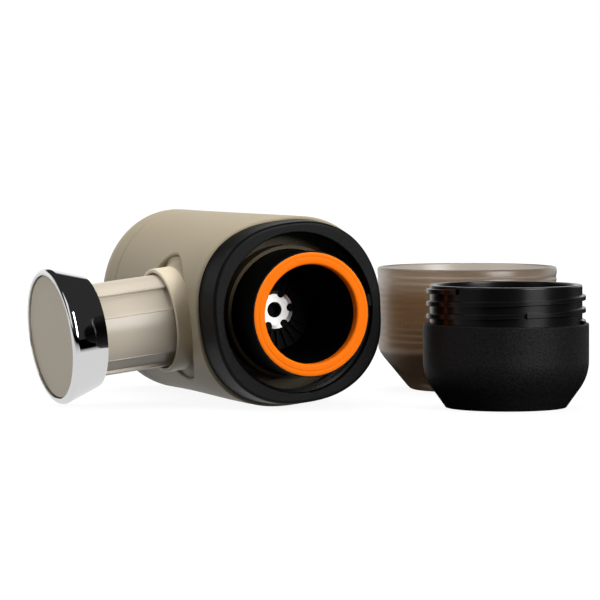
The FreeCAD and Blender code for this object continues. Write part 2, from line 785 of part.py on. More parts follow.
def make_inner_frame():
    """Champagne frame behind the mouth: the sleeve at the front, a plate, and three screw posts."""
    bore = dim.chamber_radius + 0.3
    barrel = dim.sleeve_radius + 0.4
    plate_back = dim.collar_back + dim.plate_thickness
    barrel_end = dim.chamber_end - 1.4
    body = turned(
        "inner_frame",
        UNIT,
        [
            (bore, -dim.sleeve_front),
            (dim.sleeve_radius, -dim.sleeve_front),
            (dim.sleeve_radius, dim.collar_back),
            (FRAME_PLATE_RADIUS, dim.collar_back),
            (FRAME_PLATE_RADIUS, plate_back),
            (barrel, plate_back),
            (barrel, barrel_end),
            (bore, barrel_end),
        ],
        role="XY_Plane",
    )
    soften(body, 0.35, [(dim.sleeve_radius, -dim.sleeve_front)], axis=1)
    posts = spaced_circles(CHASSIS_SCREWS, dim.screw_circle, FRAME_POST_RADIUS)
    post_length = CHASSIS_FRONT - plate_back
    extrude(body, circle_sketch(body, "XZ_Plane", posts, -plate_back), post_length, reverse=True)
    pilot = spaced_circles(CHASSIS_SCREWS, dim.screw_circle, SCREW_HOLE)
    pilots = circle_sketch(body, "XZ_Plane", pilot, -CHASSIS_FRONT)
    extrude(body, pilots, post_length, kind="Pocket", reverse=True)
    holes = spaced_circles(COLLAR_SCREWS, COLLAR_SCREW_CIRCLE, SCREW_HOLE)
    through = circle_sketch(body, "XZ_Plane", holes, -plate_back)
    extrude(body, through, dim.plate_thickness, kind="Pocket", reverse=True)
    return body


def make_capsule_chamber():
    """Black tube for the capsule, conical towards its floor, cored from behind, with a rear flange."""
    seat = -(dim.gasket_front - dim.gasket_thickness)
    rim = 0.4 - dim.gasket_front
    seat_radius = GASKET_RADIUS + 0.05
    flange = dim.sleeve_radius
    body = turned(
        "capsule_chamber",
        UNIT,
        [
            (seat_radius, rim),
            (dim.chamber_radius, rim),
            (dim.chamber_radius, dim.chamber_end - 1.2),
            (flange, dim.chamber_end - 1.2),
            (flange, dim.chamber_end),
            (WATER_HOLE, dim.chamber_end),
            (WATER_HOLE, dim.chamber_floor),
            (CHAMBER_FLOOR_RADIUS, dim.chamber_floor),
            (dim.capsule_radius, CONE_START),
            (dim.capsule_radius, seat),
            (seat_radius, seat),
        ],
        role="XY_Plane",
    )
    core_outer = dim.chamber_radius - 1.8
    core_front = seat + 6.5
    revolve(
        body,
        "XY_Plane",
        [
            (core_outer, core_front),
            (core_outer, dim.chamber_end + 1.0),
            (CHAMBER_FLOOR_RADIUS + 1.9, dim.chamber_end + 1.0),
            (dim.capsule_radius + 1.5, core_front),
        ],
        kind="Groove",
    )
    return body


def make_capsule_gasket():
    """Orange silicone ring: a flat face, a fine step, and a bevelled outer edge."""
    front = -dim.gasket_front
    back = front + dim.gasket_thickness
    return turned(
        "capsule_gasket",
        UNIT,
        [
            (dim.capsule_radius, back),
            (dim.capsule_radius, front),
            (GASKET_STEP, front),
            (GASKET_STEP + 0.1, front + 0.2),
            (GASKET_RADIUS - 0.3, front + 0.35),
            (GASKET_RADIUS, front + 0.8),
            (GASKET_RADIUS, back),
        ],
        role="XY_Plane",
    )


def make_chamber_seat():
    """Ribbed disc on the chamber's floor, which carries the piercing plate."""
    floor = dim.chamber_floor
    body = turned(
        "chamber_seat",
        UNIT,
        [
            (WATER_HOLE, floor),
            (WATER_HOLE, floor - 0.9),
            (CUTTER_SEAT, floor - 0.9),
            (CUTTER_SEAT, floor - 0.5),
            (CHAMBER_FLOOR_RADIUS - 0.1, floor - 0.5),
            (CHAMBER_FLOOR_RADIUS - 0.1, floor),
        ],
        role="XY_Plane",
    )
    rib_start = CUTTER_SEAT + 0.6
    rib_end = CHAMBER_FLOOR_RADIUS - 0.6
    half = 0.35
    height = 1.2
    rib = [(rib_start, -half), (rib_end, -half), (rib_end, half), (rib_start, half)]
    feature = extrude(body, outline_sketch(body, "XZ_Plane", rib, 0.4 - floor), height)
    polar(body, [feature], "Y_Axis", SEAT_RIBS)
    return body


def make_piercing_plate():
    """Steel star that opens the capsule: a dished disc with a water hole and six round notches."""
    back = dim.chamber_floor - 0.9
    thickness = 0.5
    bend = 5.0
    lift = 0.4
    hole = WATER_HOLE + 0.5
    body = turned(
        "piercing_plate",
        UNIT,
        [
            (hole, back),
            (hole, back - thickness),
            (bend, back - thickness),
            (dim.cutter_radius, back - thickness - lift),
            (dim.cutter_radius, back - lift),
            (bend, back),
        ],
        role="XY_Plane",
    )
    notch_circle = dim.cutter_radius - 0.5
    notch = circle_sketch(body, "XZ_Plane", [(notch_circle, 0, 1.3)], 1.0 - back)
    feature = body.newObject("PartDesign::Pocket", "piercing_plate_notch")
    feature.Profile = notch
    feature.SideType = "Symmetric"
    feature.Length = 6.0
    polar(body, [feature], "Y_Axis", CUTTER_LOBES)
    return body


def make_chamber_seal():
    """Thin silicone ring between the chamber's flange and the disc of the pump block."""
    front = dim.chamber_end + 0.02
    back = front + SEAL_THICKNESS
    outer = dim.sleeve_radius - 0.1
    inner = dim.sleeve_radius - 2.4
    ring = [(inner, front), (outer, front), (outer, back), (inner, back)]
    return turned("chamber_seal", UNIT, ring, role="XY_Plane")


def make_screws(name, angles, circle, start, thread_length, head_radius, head_height):
    """Identical pan-head screws on a bolt circle, each driven towards the mouth."""
    body = start_body(name, UNIT)
    shanks = spaced_circles(angles, circle, SCREW_SHANK)
    heads = spaced_circles(angles, circle, head_radius)
    first = extrude(body, circle_sketch(body, "XZ_Plane", shanks[:1], -start), thread_length)
    second = extrude(body, circle_sketch(body, "XZ_Plane", heads[:1], -start), head_height, reverse=True)
    polar(body, [first, second], "Y_Axis", len(angles))
    return body


# ---------------------------------------------------------------- pump


def make_piston_guide():
    """Glossy collar that rises from the shell, with four keys that run in the rod's flutes."""
    bore = dim.rod_radius + dim.running_gap
    mouth_bore = dim.rod_radius + 0.6
    stop_bore = dim.rod_radius + 0.9
    body = turned(
        "piston_guide",
        PISTON * Placement(Vector(), Rotation(Vector(0, 0, 1), FLUTE_TURN)),
        [
            (dim.guide_radius, GUIDE_TAIL),
            (dim.guide_radius, dim.guide_mouth),
            (mouth_bore, dim.guide_mouth),
            (mouth_bore, dim.guide_mouth - 2.5),
            (bore, dim.guide_mouth - 2.5),
            (bore, STOP_SHOULDER),
            (stop_bore, STOP_SHOULDER),
            (stop_bore, GUIDE_TAIL),
        ],
    )
    soften(body, 0.5, [(dim.guide_radius, dim.guide_mouth)])
    soften(body, 0.3, [(mouth_bore, dim.guide_mouth)])
    key_inner = dim.rod_radius - dim.flute_depth + dim.running_gap
    key = [
        (key_inner, KEY_START),
        (bore + 0.2, KEY_START),
        (bore + 0.2, KEY_END),
        (key_inner, KEY_END),
    ]
    feature = revolve(body, "XZ_Plane", key, angle=dim.flute_angle - 1.4)
    polar(body, [feature], "Z_Axis", FLUTES)
    return body


def make_piston_rod():
    """Hollow champagne rod with four flutes, a stop flange inside the guide and a closed top."""
    bore = dim.rod_radius - dim.rod_wall
    flange = dim.rod_radius + 0.7
    flange_top = STOP_SHOULDER - 0.1
    body = turned(
        "piston_rod",
        PISTON * Placement(Vector(), Rotation(Vector(0, 0, 1), FLUTE_TURN)),
        [
            (PLUNGER_SCREW_HOLE, ROD_TOP - ROD_CAP),
            (bore, ROD_TOP - ROD_CAP),
            (bore, ROD_BOTTOM),
            (flange, ROD_BOTTOM),
            (flange, flange_top),
            (dim.rod_radius, flange_top),
            (dim.rod_radius, ROD_TOP),
            (PLUNGER_SCREW_HOLE, ROD_TOP),
        ],
    )
    flute_floor = dim.rod_radius - dim.flute_depth
    flute_start = KEY_START - 0.4
    flute_end = KEY_END + dim.stroke + 0.5
    outside = dim.rod_radius + 0.5
    channel = [
        (flute_floor, flute_start),
        (outside, flute_start),
        (outside, flute_end),
        (flute_floor, flute_end),
    ]
    feature = revolve(body, "XZ_Plane", channel, kind="Groove", angle=dim.flute_angle)
    polar(body, [feature], "Z_Axis", FLUTES)
    return body


def make_knob_ring():
    """Chromed conical ring: a thin skirt that passes over the guide collar, and a web on the rod."""
    skirt_inner = dim.guide_radius + 0.4
    disc_seat = dim.knob_disc_radius + 0.13
    face = dim.knob_front
    web = ROD_TOP + 0.05
    return turned(
        "knob_ring",
        PISTON,
        [
            (SCREW_HEAD + 0.3, web),
            (skirt_inner, web),
            (skirt_inner, dim.knob_rear),
            (dim.knob_rear_radius, dim.knob_rear),
            (dim.knob_radius, face - 1.6),
            (dim.knob_radius - 0.2, face - 0.6),
            (dim.knob_radius - 0.9, face),
            (disc_seat, face),
            (disc_seat, web + 2.3),
            (SCREW_HEAD + 0.3, web + 2.3),
        ],
    )


def make_knob_disc():
    """Champagne cap snapped into the ring, slightly below its rim."""
    face = dim.knob_front - 0.6
    seat = ROD_TOP + 2.5
    skirt_inner = dim.knob_disc_radius - 1.5
    body = turned(
        "knob_disc",
        PISTON,
        [
            (0, face),
            (dim.knob_disc_radius, face),
            (dim.knob_disc_radius, seat),
            (skirt_inner, seat),
            (skirt_inner, face - 1.6),
            (0, face - 1.6),
        ],
    )
    soften(body, 0.4, [(dim.knob_disc_radius, face)])
    return body


def make_plunger():
    """Plunger stem with a grooved head, its O-ring, and the screw that holds it to the rod."""
    head = dim.pump_bore - 0.07
    groove = dim.pump_bore - 1.6
    top = ROD_TOP - ROD_CAP - 0.05
    turned(
        "plunger_stem",
        PISTON,
        [
            (0, PLUNGER_TIP),
            (head, PLUNGER_TIP),
            (head, PLUNGER_TIP + 0.8),
            (groove, PLUNGER_TIP + 0.8),
            (groove, PLUNGER_TIP + 2.4),
            (head, PLUNGER_TIP + 2.4),
            (head, PLUNGER_TIP + 4.0),
            (groove, PLUNGER_TIP + 5.0),
            (groove, top),
            (PLUNGER_SCREW_HOLE - 0.3, top),
            (PLUNGER_SCREW_HOLE - 0.3, top - 13.0),
            (0, top - 13.0),
        ],
    )
    seal = doc.addObject("Part::Torus", "plunger_seal")
    seal.Label = "plunger_seal"
    seal.Radius1 = dim.pump_bore.value - 0.8
    seal.Radius2 = 0.77
    seal.Placement = PISTON * Placement(Vector(0, 0, PLUNGER_TIP + 1.6), Rotation())
    parts.append(seal)
    shank = PLUNGER_SCREW_HOLE - 0.35
    turned(
        "plunger_screw",
        PISTON,
        [
            (0, top - 12.0),
            (shank, top - 12.0),
            (shank, ROD_TOP + 0.05),
            (SCREW_HEAD, ROD_TOP + 0.05),
            (SCREW_HEAD, ROD_TOP + 1.4),
            (0, ROD_TOP + 1.7),
        ],
    )


def coil_spring(name, placement, radius, wire, height, turns):
    """A helical spring along Z, with a wire of eight flats swept square to the helix."""
    pitch = height / turns
    helix = Part.makeLongHelix(pitch, height, radius)
    along = Vector(0, 2.0 * math.pi * radius, pitch).normalize()
    upward = along.cross(Vector(-1, 0, 0))
    corners = []
    for flat in range(8):
        turn = math.radians(45.0 * flat)
        corners.append(Vector(radius + wire * math.cos(turn), 0, 0) + upward * (wire * math.sin(turn)))
    section = Part.makePolygon(corners + corners[:1])
    spring = doc.addObject("Part::Feature", name)
    spring.Shape = Part.Wire(helix.Edges).makePipeShell([section], True, True)
    spring.Label = name
    spring.Placement = placement
    parts.append(spring)
    return spring


def make_return_spring():
    """Spring between the pump block's cavity floor and the top of the rod."""
    low = dim.block_floor.value + 0.7
    high = ROD_TOP - ROD_CAP - 0.7
    place = PISTON * Placement(Vector(0, 0, low), Rotation())
    return coil_spring("return_spring", place, SPRING_RADIUS, SPRING_WIRE, high - low, SPRING_TURNS)


def make_pump_liner():
    """Steel cylinder in which the plunger runs, with two port holes near its foot."""
    foot = dim.block_base + LINER_FOOT
    body = turned(
        "pump_liner",
        PISTON,
        [
            (dim.pump_bore, foot),
            (dim.liner_radius, foot),
            (dim.liner_radius, LINER_TOP),
            (dim.pump_bore, LINER_TOP),
        ],
    )
    sketch = circle_sketch(body, "XZ_Plane", [(0, dim.port_z, PORT_RADIUS)])
    port = body.newObject("PartDesign::Pocket", "pump_liner_ports")
    port.Profile = sketch
    port.SideType = "Symmetric"
    port.Length = 30.0
    doc.recompute()
    return body


def make_pump_block():
    """Pump housing across the shell: a round block for the liner, and a disc behind the chamber."""
    body = start_body("pump_block", PISTON)
    disc_front = dim.piston_y - CHASSIS_FRONT
    disc = circle_sketch(body, "XZ_Plane", [(0, 0, CHASSIS_RADIUS)], disc_front - CHASSIS_THICKNESS)
    extrude(body, disc, CHASSIS_THICKNESS)
    # the piston frame's X is up and its Z is towards the knob, so the screw angles turn with it
    for angle in CHASSIS_SCREWS:
        turn = math.radians(angle)
        up, out = math.sin(turn), -math.cos(turn)
        place = (dim.screw_circle * round(up, 6), dim.screw_circle * round(out, 6))
        ear_circle = [(*place, CHASSIS_EAR_RADIUS)]
        ear = circle_sketch(body, "XZ_Plane", ear_circle, disc_front - CHASSIS_THICKNESS)
        extrude(body, ear, CHASSIS_THICKNESS)
        hole = circle_sketch(body, "XZ_Plane", [(*place, SCREW_HOLE)], disc_front)
        extrude(body, hole, CHASSIS_THICKNESS + 0.1, kind="Pocket")
    socket = dim.guide_radius + 0.06
    cavity = dim.block_radius - 1.8
    foot = dim.block_base + LINER_FOOT
    liner = dim.liner_radius + 0.05
    revolve(
        body,
        "XZ_Plane",
        [
            (0, dim.block_base),
            (dim.block_radius, dim.block_base),
            (dim.block_radius, SOCKET_TOP),
            (socket, SOCKET_TOP),
            (socket, GUIDE_TAIL - 0.1),
            (cavity, GUIDE_TAIL - 0.1),
            (cavity, dim.block_floor),
            (liner, dim.block_floor),
            (liner, foot),
            (0, foot),
        ],
    )
    for side in (1.0, -1.0):
        for radius, depth in ((VALVE_POCKET, POCKET_LENGTH), (PORT_RADIUS, PORT_LENGTH)):
            circle = [(0, dim.port_z, radius)]
            mouth = circle_sketch(body, "XZ_Plane", circle, dim.block_radius * side)
            extrude(body, mouth, depth, kind="Pocket", reverse=side < 0)
    water_way = circle_sketch(body, "XZ_Plane", [(0, 0, 1.2)], disc_front)
    extrude(body, water_way, 0.3, kind="Pocket")
    return body


def make_valves():
    """Two ball valves: the outlet one sprung, the inlet one free on its seat."""
    pocket_floor = dim.block_radius - POCKET_LENGTH
    radius = dim.ball_radius
    reach = math.sqrt(radius.value**2 - PORT_RADIUS**2) + 0.04
    at_port = Placement(Vector(0, 0, dim.port_z.value), Rotation())
    valves = PISTON * at_port

    for name, y in (
        ("outlet_ball", -pocket_floor.value - reach),
        ("inlet_ball", INLET_SEAT - reach),
    ):
        ball = doc.addObject("Part::Sphere", name)
        ball.Label = name
        ball.Radius = radius.value
        bind(ball, "Radius", radius)
        ball.Placement = valves * Placement(Vector(0, y, 0), Rotation())
        parts.append(ball)

    plug = VALVE_POCKET - 0.05
    cage_outer = -dim.block_radius.value
    turned(
        "outlet_cage",
        valves,
        [
            (PORT_RADIUS, cage_outer),
            (plug, cage_outer),
            (plug, cage_outer + CAGE_THICKNESS),
            (PORT_RADIUS, cage_outer + CAGE_THICKNESS),
        ],
        role="XY_Plane",
    )
    tube_start = dim.block_radius.value + 1.0
    turned(
        "inlet_seat",
        valves,
        [
            (PORT_RADIUS, INLET_SEAT),
            (plug, INLET_SEAT),
            (plug, dim.block_radius.value),
            (SUCTION_RADIUS + 0.6, dim.block_radius.value),
            (SUCTION_RADIUS + 0.6, tube_start + 4.0),
            (SUCTION_RADIUS + 0.02, tube_start + 4.0),
            (SUCTION_RADIUS + 0.02, tube_start),
            (PORT_RADIUS, tube_start),
        ],
        role="XY_Plane",
    )

    low = cage_outer + CAGE_THICKNESS + 0.12
    high = -pocket_floor.value - reach - radius.value - 0.05
    place = valves * Placement(Vector(0, low, 0), Rotation(Vector(1, 0, 0), -90))
    coil_spring(
        "outlet_spring",
        place,
        OUTLET_SPRING_RADIUS,
        OUTLET_SPRING_WIRE,
        high - low,
        OUTLET_SPRING_TURNS,
    )


# ---------------------------------------------------------------- outlet head


def make_head_shell():
    """Matt black outer skirt: a flat foot, a coned lower edge and a long curve up to the shoulder."""
    wall = dim.shell_wall
    foot_hole = SPOUT_RADIUS + 1.5
    body = turned(
        "head_shell",
        HEAD,
        [
            (foot_hole, 0),
            (dim.head_base_radius, 0),
            (SHELL_CONE_RADIUS, SHELL_CONE_HEIGHT),
            (dim.head_radius, SHELL_CURVE_HEIGHT),
            (dim.head_radius, dim.head_shoulder),
            (dim.head_radius - wall, dim.head_shoulder),
            (dim.head_radius - wall, 12.5),
            (SHELL_CONE_RADIUS - 3.0, wall),
            (foot_hole, wall),
        ],
    )
    soften(body, 15.0, [(dim.head_radius, SHELL_CURVE_HEIGHT)])
    soften(body, 12.0, [(dim.head_radius - wall, 12.5)])
    soften(body, 0.4, [(dim.head_base_radius, 0)])
    soften(body, 0.35, [(dim.head_radius, dim.head_shoulder)])
    return body


def make_head_neck():
    """Glossy black liner of the outlet head: the threaded neck and the hollow with its floor."""
    rim = dim.head_height
    body_radius = dim.head_radius - 2.2
    body = turned(
        "head_neck",
        HEAD,
        [
            (SPOUT_RADIUS - 0.1, NECK_UNDERSIDE),
            (body_radius - 1.5, NECK_UNDERSIDE),
            (body_radius, NECK_UNDERSIDE + 2.4),
            (body_radius, dim.head_shoulder - 0.6),
            (dim.neck_radius, dim.head_shoulder - 0.6),
            (dim.neck_radius, rim),
            (dim.neck_bore, rim),
            (dim.neck_bore, dim.head_floor),
            (SPOUT_BORE + 1.0, dim.head_floor),
            (SPOUT_RADIUS - 0.1, dim.head_floor - 1.0),
        ],
    )
    soften(body, 0.5, [(dim.neck_radius, rim), (dim.neck_bore, rim)])
    return body


def make_outlet_screen():
    """Steel screen that the capsule's foil is pressed through, with rings of small holes."""
    floor = dim.head_floor + 0.02
    body = start_body("outlet_screen", HEAD)
    disc = circle_sketch(body, "XY_Plane", [(0, 0, SCREEN_RADIUS)], floor)
    extrude(body, disc, SCREEN_THICKNESS)
    centre = circle_sketch(body, "XY_Plane", [(0, 0, SCREEN_HOLE)], floor)
    extrude(body, centre, SCREEN_THICKNESS, kind="Pocket", reverse=True)
    for ring in SCREEN_RINGS:
        hole = circle_sketch(body, "XY_Plane", [(ring * SCREEN_PITCH, 0, SCREEN_HOLE)], floor)
        feature = extrude(body, hole, SCREEN_THICKNESS, kind="Pocket", reverse=True)
        polar(body, [feature], "Z_Axis", 6 * ring)
    return body


def make_screen_seal():
    """Silicone ring round the screen, which meets the capsule's flange."""
    floor = dim.head_floor + 0.02
    outer = dim.neck_bore - 0.05
    inner = SCREEN_RADIUS + 0.1
    return turned(
        "screen_seal",
        HEAD,
        [
            (inner, floor),
            (outer, floor),
            (outer, floor + 1.2),
            (inner + 0.8, floor + 1.5),
            (inner, floor + 1.2),
        ],
    )


def make_outlet_spout():
    """Nozzle under the screen that leads the coffee out through the foot."""
    floor = dim.head_floor
    return turned(
        "outlet_spout",
        HEAD,
        [
            (SPOUT_BORE, 1.2),
            (SPOUT_BORE + 1.2, 1.2),
            (SPOUT_RADIUS - 0.15, 6.0),
            (SPOUT_RADIUS - 0.15, floor - 1.1),
            (SPOUT_RADIUS - 1.3, floor - 1.1),
            (SPOUT_BORE, 8.0),
        ],
    )


# ---------------------------------------------------------------- cup


def make_drinking_cup():
    """Smoke-brown cup: a flat foot, a coned lower wall and a straight wall up to a rounded rim."""
    wall = dim.cup_wall
    foot = dim.cup_base_radius
    cone = dim.cup_cone_height
    rim = dim.cup_height
    body = turned(
        "drinking_cup",
        CUP,
        [
            (0, 0),
            (foot, 0),
            (foot + 1.6, 1.4),
            (dim.cup_radius - 0.25, cone),
            (dim.cup_radius, rim),
            (dim.cup_radius - wall, rim),
            (dim.cup_radius - wall - 0.25, cone + 0.6),
            (foot + 0.7, wall + 0.4),
            (0, wall + 0.4),
        ],
    )
    soften(body, 4.0, [(dim.cup_radius - 0.25, cone)])
    soften(body, 3.0, [(dim.cup_radius - wall - 0.25, cone + 0.6)])
    soften(body, 0.6, [(dim.cup_radius, rim), (dim.cup_radius - wall, rim)])
    return body


# ---------------------------------------------------------------- build and export


def build():
    make_body_shell()
    make_water_tank()
    make_rear_bulkhead()
    make_tank_seals()
    make_suction_tube()

    make_mouth_collar()
    make_inner_frame()
    make_capsule_chamber()
    make_capsule_gasket()
    make_chamber_seat()
    make_piercing_plate()
    make_chamber_seal()
    chassis_back = CHASSIS_FRONT + CHASSIS_THICKNESS
    make_screws("chassis_screws", CHASSIS_SCREWS, dim.screw_circle, chassis_back, 7.0, 1.5, 1.0)
    plate_back = dim.collar_back + dim.plate_thickness
    make_screws("collar_screws", COLLAR_SCREWS, COLLAR_SCREW_CIRCLE, plate_back, 6.5, 1.25, 1.0)

    make_piston_guide()
    make_piston_rod()
    make_knob_ring()
    make_knob_disc()
    make_plunger()
    make_return_spring()
    make_pump_liner()
    make_pump_block()
    make_valves()

    make_head_shell()
    make_head_neck()
    make_outlet_screen()
    make_screen_seal()
    make_outlet_spout()
    make_drinking_cup()


def check_and_export():
    doc.recompute()
    faults = []
    for item in doc.Objects:
        if "Invalid" in item.State or "Error" in item.State:
            faults.append(f"{item.Label} is {item.State}")
    for part in parts:
        if part.Shape.isNull() or not part.Shape.isValid() or part.Shape.Volume <= 0:
            faults.append(f"{part.Label} has no valid solid")
    if faults:
        raise RuntimeError("; ".join(faults))
    os.makedirs("parts", exist_ok=True)
    for part in parts:
        part.Shape.exportStep(os.path.join("parts", f"{part.Label}.step"))
        solids = len(part.Shape.Solids)
        print(f"{part.Label}: {part.Shape.Volume:.0f} cubic mm, {solids} solid(s)")


build()
check_and_export()
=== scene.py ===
import bpy
import json
import math
from mathutils import Matrix, Vector

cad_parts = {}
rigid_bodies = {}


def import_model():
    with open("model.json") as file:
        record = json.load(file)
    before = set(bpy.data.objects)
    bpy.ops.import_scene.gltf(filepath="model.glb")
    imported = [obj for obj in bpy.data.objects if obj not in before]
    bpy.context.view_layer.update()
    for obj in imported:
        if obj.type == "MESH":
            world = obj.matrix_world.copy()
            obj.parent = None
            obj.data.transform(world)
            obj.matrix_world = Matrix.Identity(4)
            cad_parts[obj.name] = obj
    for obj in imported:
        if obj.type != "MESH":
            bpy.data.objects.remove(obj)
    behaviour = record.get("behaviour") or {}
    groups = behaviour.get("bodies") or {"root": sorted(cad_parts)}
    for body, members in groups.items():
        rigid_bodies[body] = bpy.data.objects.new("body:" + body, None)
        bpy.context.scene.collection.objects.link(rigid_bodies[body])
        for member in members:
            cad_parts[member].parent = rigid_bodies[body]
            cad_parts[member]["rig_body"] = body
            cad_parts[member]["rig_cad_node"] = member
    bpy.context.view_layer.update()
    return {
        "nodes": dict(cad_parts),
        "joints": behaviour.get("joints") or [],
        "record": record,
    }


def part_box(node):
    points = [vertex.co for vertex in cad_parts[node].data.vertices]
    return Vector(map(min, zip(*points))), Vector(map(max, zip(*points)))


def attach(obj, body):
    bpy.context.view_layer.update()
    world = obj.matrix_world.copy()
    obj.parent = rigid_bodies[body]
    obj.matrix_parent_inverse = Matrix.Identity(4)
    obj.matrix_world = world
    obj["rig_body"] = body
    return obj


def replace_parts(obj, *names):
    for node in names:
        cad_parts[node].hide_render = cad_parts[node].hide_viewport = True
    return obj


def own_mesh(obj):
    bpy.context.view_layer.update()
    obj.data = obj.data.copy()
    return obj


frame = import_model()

scene = bpy.context.scene
mm = 0.001

# where the groups of the set stand, read from the frame; the sizes below are in millimetres


def middle(node):
    low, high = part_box(node)
    return Vector([(a + b) / 2 for a, b in zip(low, high)])


def jointAxis(name):
    return next(joint["axis"] for joint in frame["joints"] if joint["name"] == name)


collarBehindLip = 2.6
pistonBehindLip = 30.0
pressAxis = jointAxis("piston_press")
roll = math.atan2(pressAxis[2], pressAxis[0])
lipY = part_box("mouth_collar")[1][1] - collarBehindLip * mm
unitOrigin = Vector((middle("capsule_chamber").x, lipY, middle("capsule_chamber").z))

millimetres = Matrix.Scale(mm, 4)
unitPlace = Matrix.Translation(unitOrigin) @ Matrix.Rotation(-roll, 4, "Y") @ millimetres
mouthPlace = unitPlace @ Matrix.Rotation(math.radians(90), 4, "X")
pistonPlace = (
    unitPlace
    @ Matrix.Translation((0, pistonBehindLip, 0))
    @ Matrix.Rotation(math.radians(-90), 4, "Y")
)
headPlace = Matrix.Translation((middle("head_shell").x, middle("head_shell").y, 0)) @ millimetres
cupPlace = Matrix.Translation((middle("drinking_cup").x, middle("drinking_cup").y, 0)) @ millimetres
print("frame loaded, unit lip at", [round(v / mm, 2) for v in unitOrigin])

# shader groups: each gives a value or a normal that several finishes share


def newGroup(name, inputs, outputs):
    group = bpy.data.node_groups.new(name, "ShaderNodeTree")
    for label, kind, value in inputs:
        socket = group.interface.new_socket(label, in_out="INPUT", socket_type=kind)
        if value is not None:
            socket.default_value = value
    for label, kind in outputs:
        group.interface.new_socket(label, in_out="OUTPUT", socket_type=kind)
    return group, group.nodes.new("NodeGroupInput"), group.nodes.new("NodeGroupOutput")


def addNode(tree, kind, **settings):
    node = tree.nodes.new(kind)
    for key, value in settings.items():
        if key in node.inputs:
            node.inputs[key].default_value = value
        else:
            setattr(node, key, value)
    return node


def mathNode(tree, operation, first, second):
    node = tree.nodes.new("ShaderNodeMath")
    node.operation = operation
    for socket, value in zip(node.inputs, (first, second)):
        if isinstance(value, bpy.types.NodeSocket):
            tree.links.new(value, socket)
        else:
            socket.default_value = value
    return node.outputs[0]


def mapRange(tree, value, span, values, interpolation="LINEAR"):
    node = addNode(tree, "ShaderNodeMapRange", interpolation_type=interpolation)
    node.inputs["From Min"].default_value, node.inputs["From Max"].default_value = span
    node.inputs["To Min"].default_value, node.inputs["To Max"].default_value = values
    tree.links.new(value, node.inputs["Value"])
    return node.outputs["Result"]


mixSockets = {"RGBA": (6, 7, 2), "FLOAT": (2, 3, 0)}  # a Mix node's two inputs and its output


def mixNode(tree, kind, factor, first, second):
    node = addNode(tree, "ShaderNodeMix", data_type=kind)
    firstSocket, secondSocket, result = mixSockets[kind]
    for index, value in ((firstSocket, first), (secondSocket, second)):
        if isinstance(value, bpy.types.NodeSocket):
            tree.links.new(value, node.inputs[index])
        elif kind == "RGBA":
            node.inputs[index].default_value = (*value, 1)
        else:
            node.inputs[index].default_value = value
    tree.links.new(factor, node.inputs[0])
    return node.outputs[result]


def alongAxis(tree, position, direction):
    # how far a point or a ray lies along a direction
    node = addNode(tree, "ShaderNodeVectorMath", operation="DOT_PRODUCT")
    node.inputs[1].default_value = direction
    tree.links.new(position, node.inputs[0])
    return node.outputs["Value"]


coarseShare = 0.45  # scale of the coarse noise, as a share of the fine one's


def makeGrainGroup():
    # moulded grain: two sizes of noise as a height, and a slow drift for colour and roughness
    group, start, end = newGroup(
        "mouldedGrain",
        [("Scale", "NodeSocketFloat", 1200.0), ("Drift Scale", "NodeSocketFloat", 40.0)],
        [("Height", "NodeSocketFloat"), ("Drift", "NodeSocketFloat")],
    )
    place = addNode(group, "ShaderNodeTexCoord")
    fine = addNode(group, "ShaderNodeTexNoise", Detail=3.0, Roughness=0.6)
    coarse = addNode(group, "ShaderNodeTexNoise", Detail=2.0, Roughness=0.5)
    drift = addNode(group, "ShaderNodeTexNoise", Detail=4.0, Roughness=0.55)
    coarser = mathNode(group, "MULTIPLY", start.outputs["Scale"], coarseShare)
    for noise in (fine, coarse, drift):
        group.links.new(place.outputs["Object"], noise.inputs["Vector"])
    group.links.new(start.outputs["Scale"], fine.inputs["Scale"])
    group.links.new(coarser, coarse.inputs["Scale"])
    group.links.new(start.outputs["Drift Scale"], drift.inputs["Scale"])
    both = mathNode(group, "ADD", fine.outputs["Fac"], coarse.outputs["Fac"])
    group.links.new(mathNode(group, "MULTIPLY", both, 0.5), end.inputs["Height"])
    group.links.new(drift.outputs["Fac"], end.inputs["Drift"])
    return group


fullEdgeHighlightBend = 0.12  # the bend at which an edge gets its full painted highlight


def makeEdgeHighlightGroup():
    # where an edge gets a painted highlight: 1 on convex edges, broken up by noise
    group, start, end = newGroup(
        "paintedEdgeHighlight",
        [("Width", "NodeSocketFloat", 0.0004), ("Break Up", "NodeSocketFloat", 300.0)],
        [("Mask", "NodeSocketFloat")],
    )
    bevel = addNode(group, "ShaderNodeBevel", samples=4)
    group.links.new(start.outputs["Width"], bevel.inputs["Radius"])
    geometry = addNode(group, "ShaderNodeNewGeometry")
    dot = addNode(group, "ShaderNodeVectorMath", operation="DOT_PRODUCT")
    group.links.new(bevel.outputs["Normal"], dot.inputs[0])
    group.links.new(geometry.outputs["Normal"], dot.inputs[1])
    bend = mathNode(group, "SUBTRACT", 1.0, dot.outputs["Value"])
    place = addNode(group, "ShaderNodeTexCoord")
    noise = addNode(group, "ShaderNodeTexNoise", Detail=3.0)
    group.links.new(place.outputs["Object"], noise.inputs["Vector"])
    group.links.new(start.outputs["Break Up"], noise.inputs["Scale"])
    broken = mathNode(group, "MULTIPLY", bend, noise.outputs["Fac"])
    group.links.new(mapRange(group, broken, (0.0, fullEdgeHighlightBend), (0.0, 1.0)), end.inputs["Mask"])
    return group


grainGroup = makeGrainGroup()
edgeHighlightGroup = makeEdgeHighlightGroup()
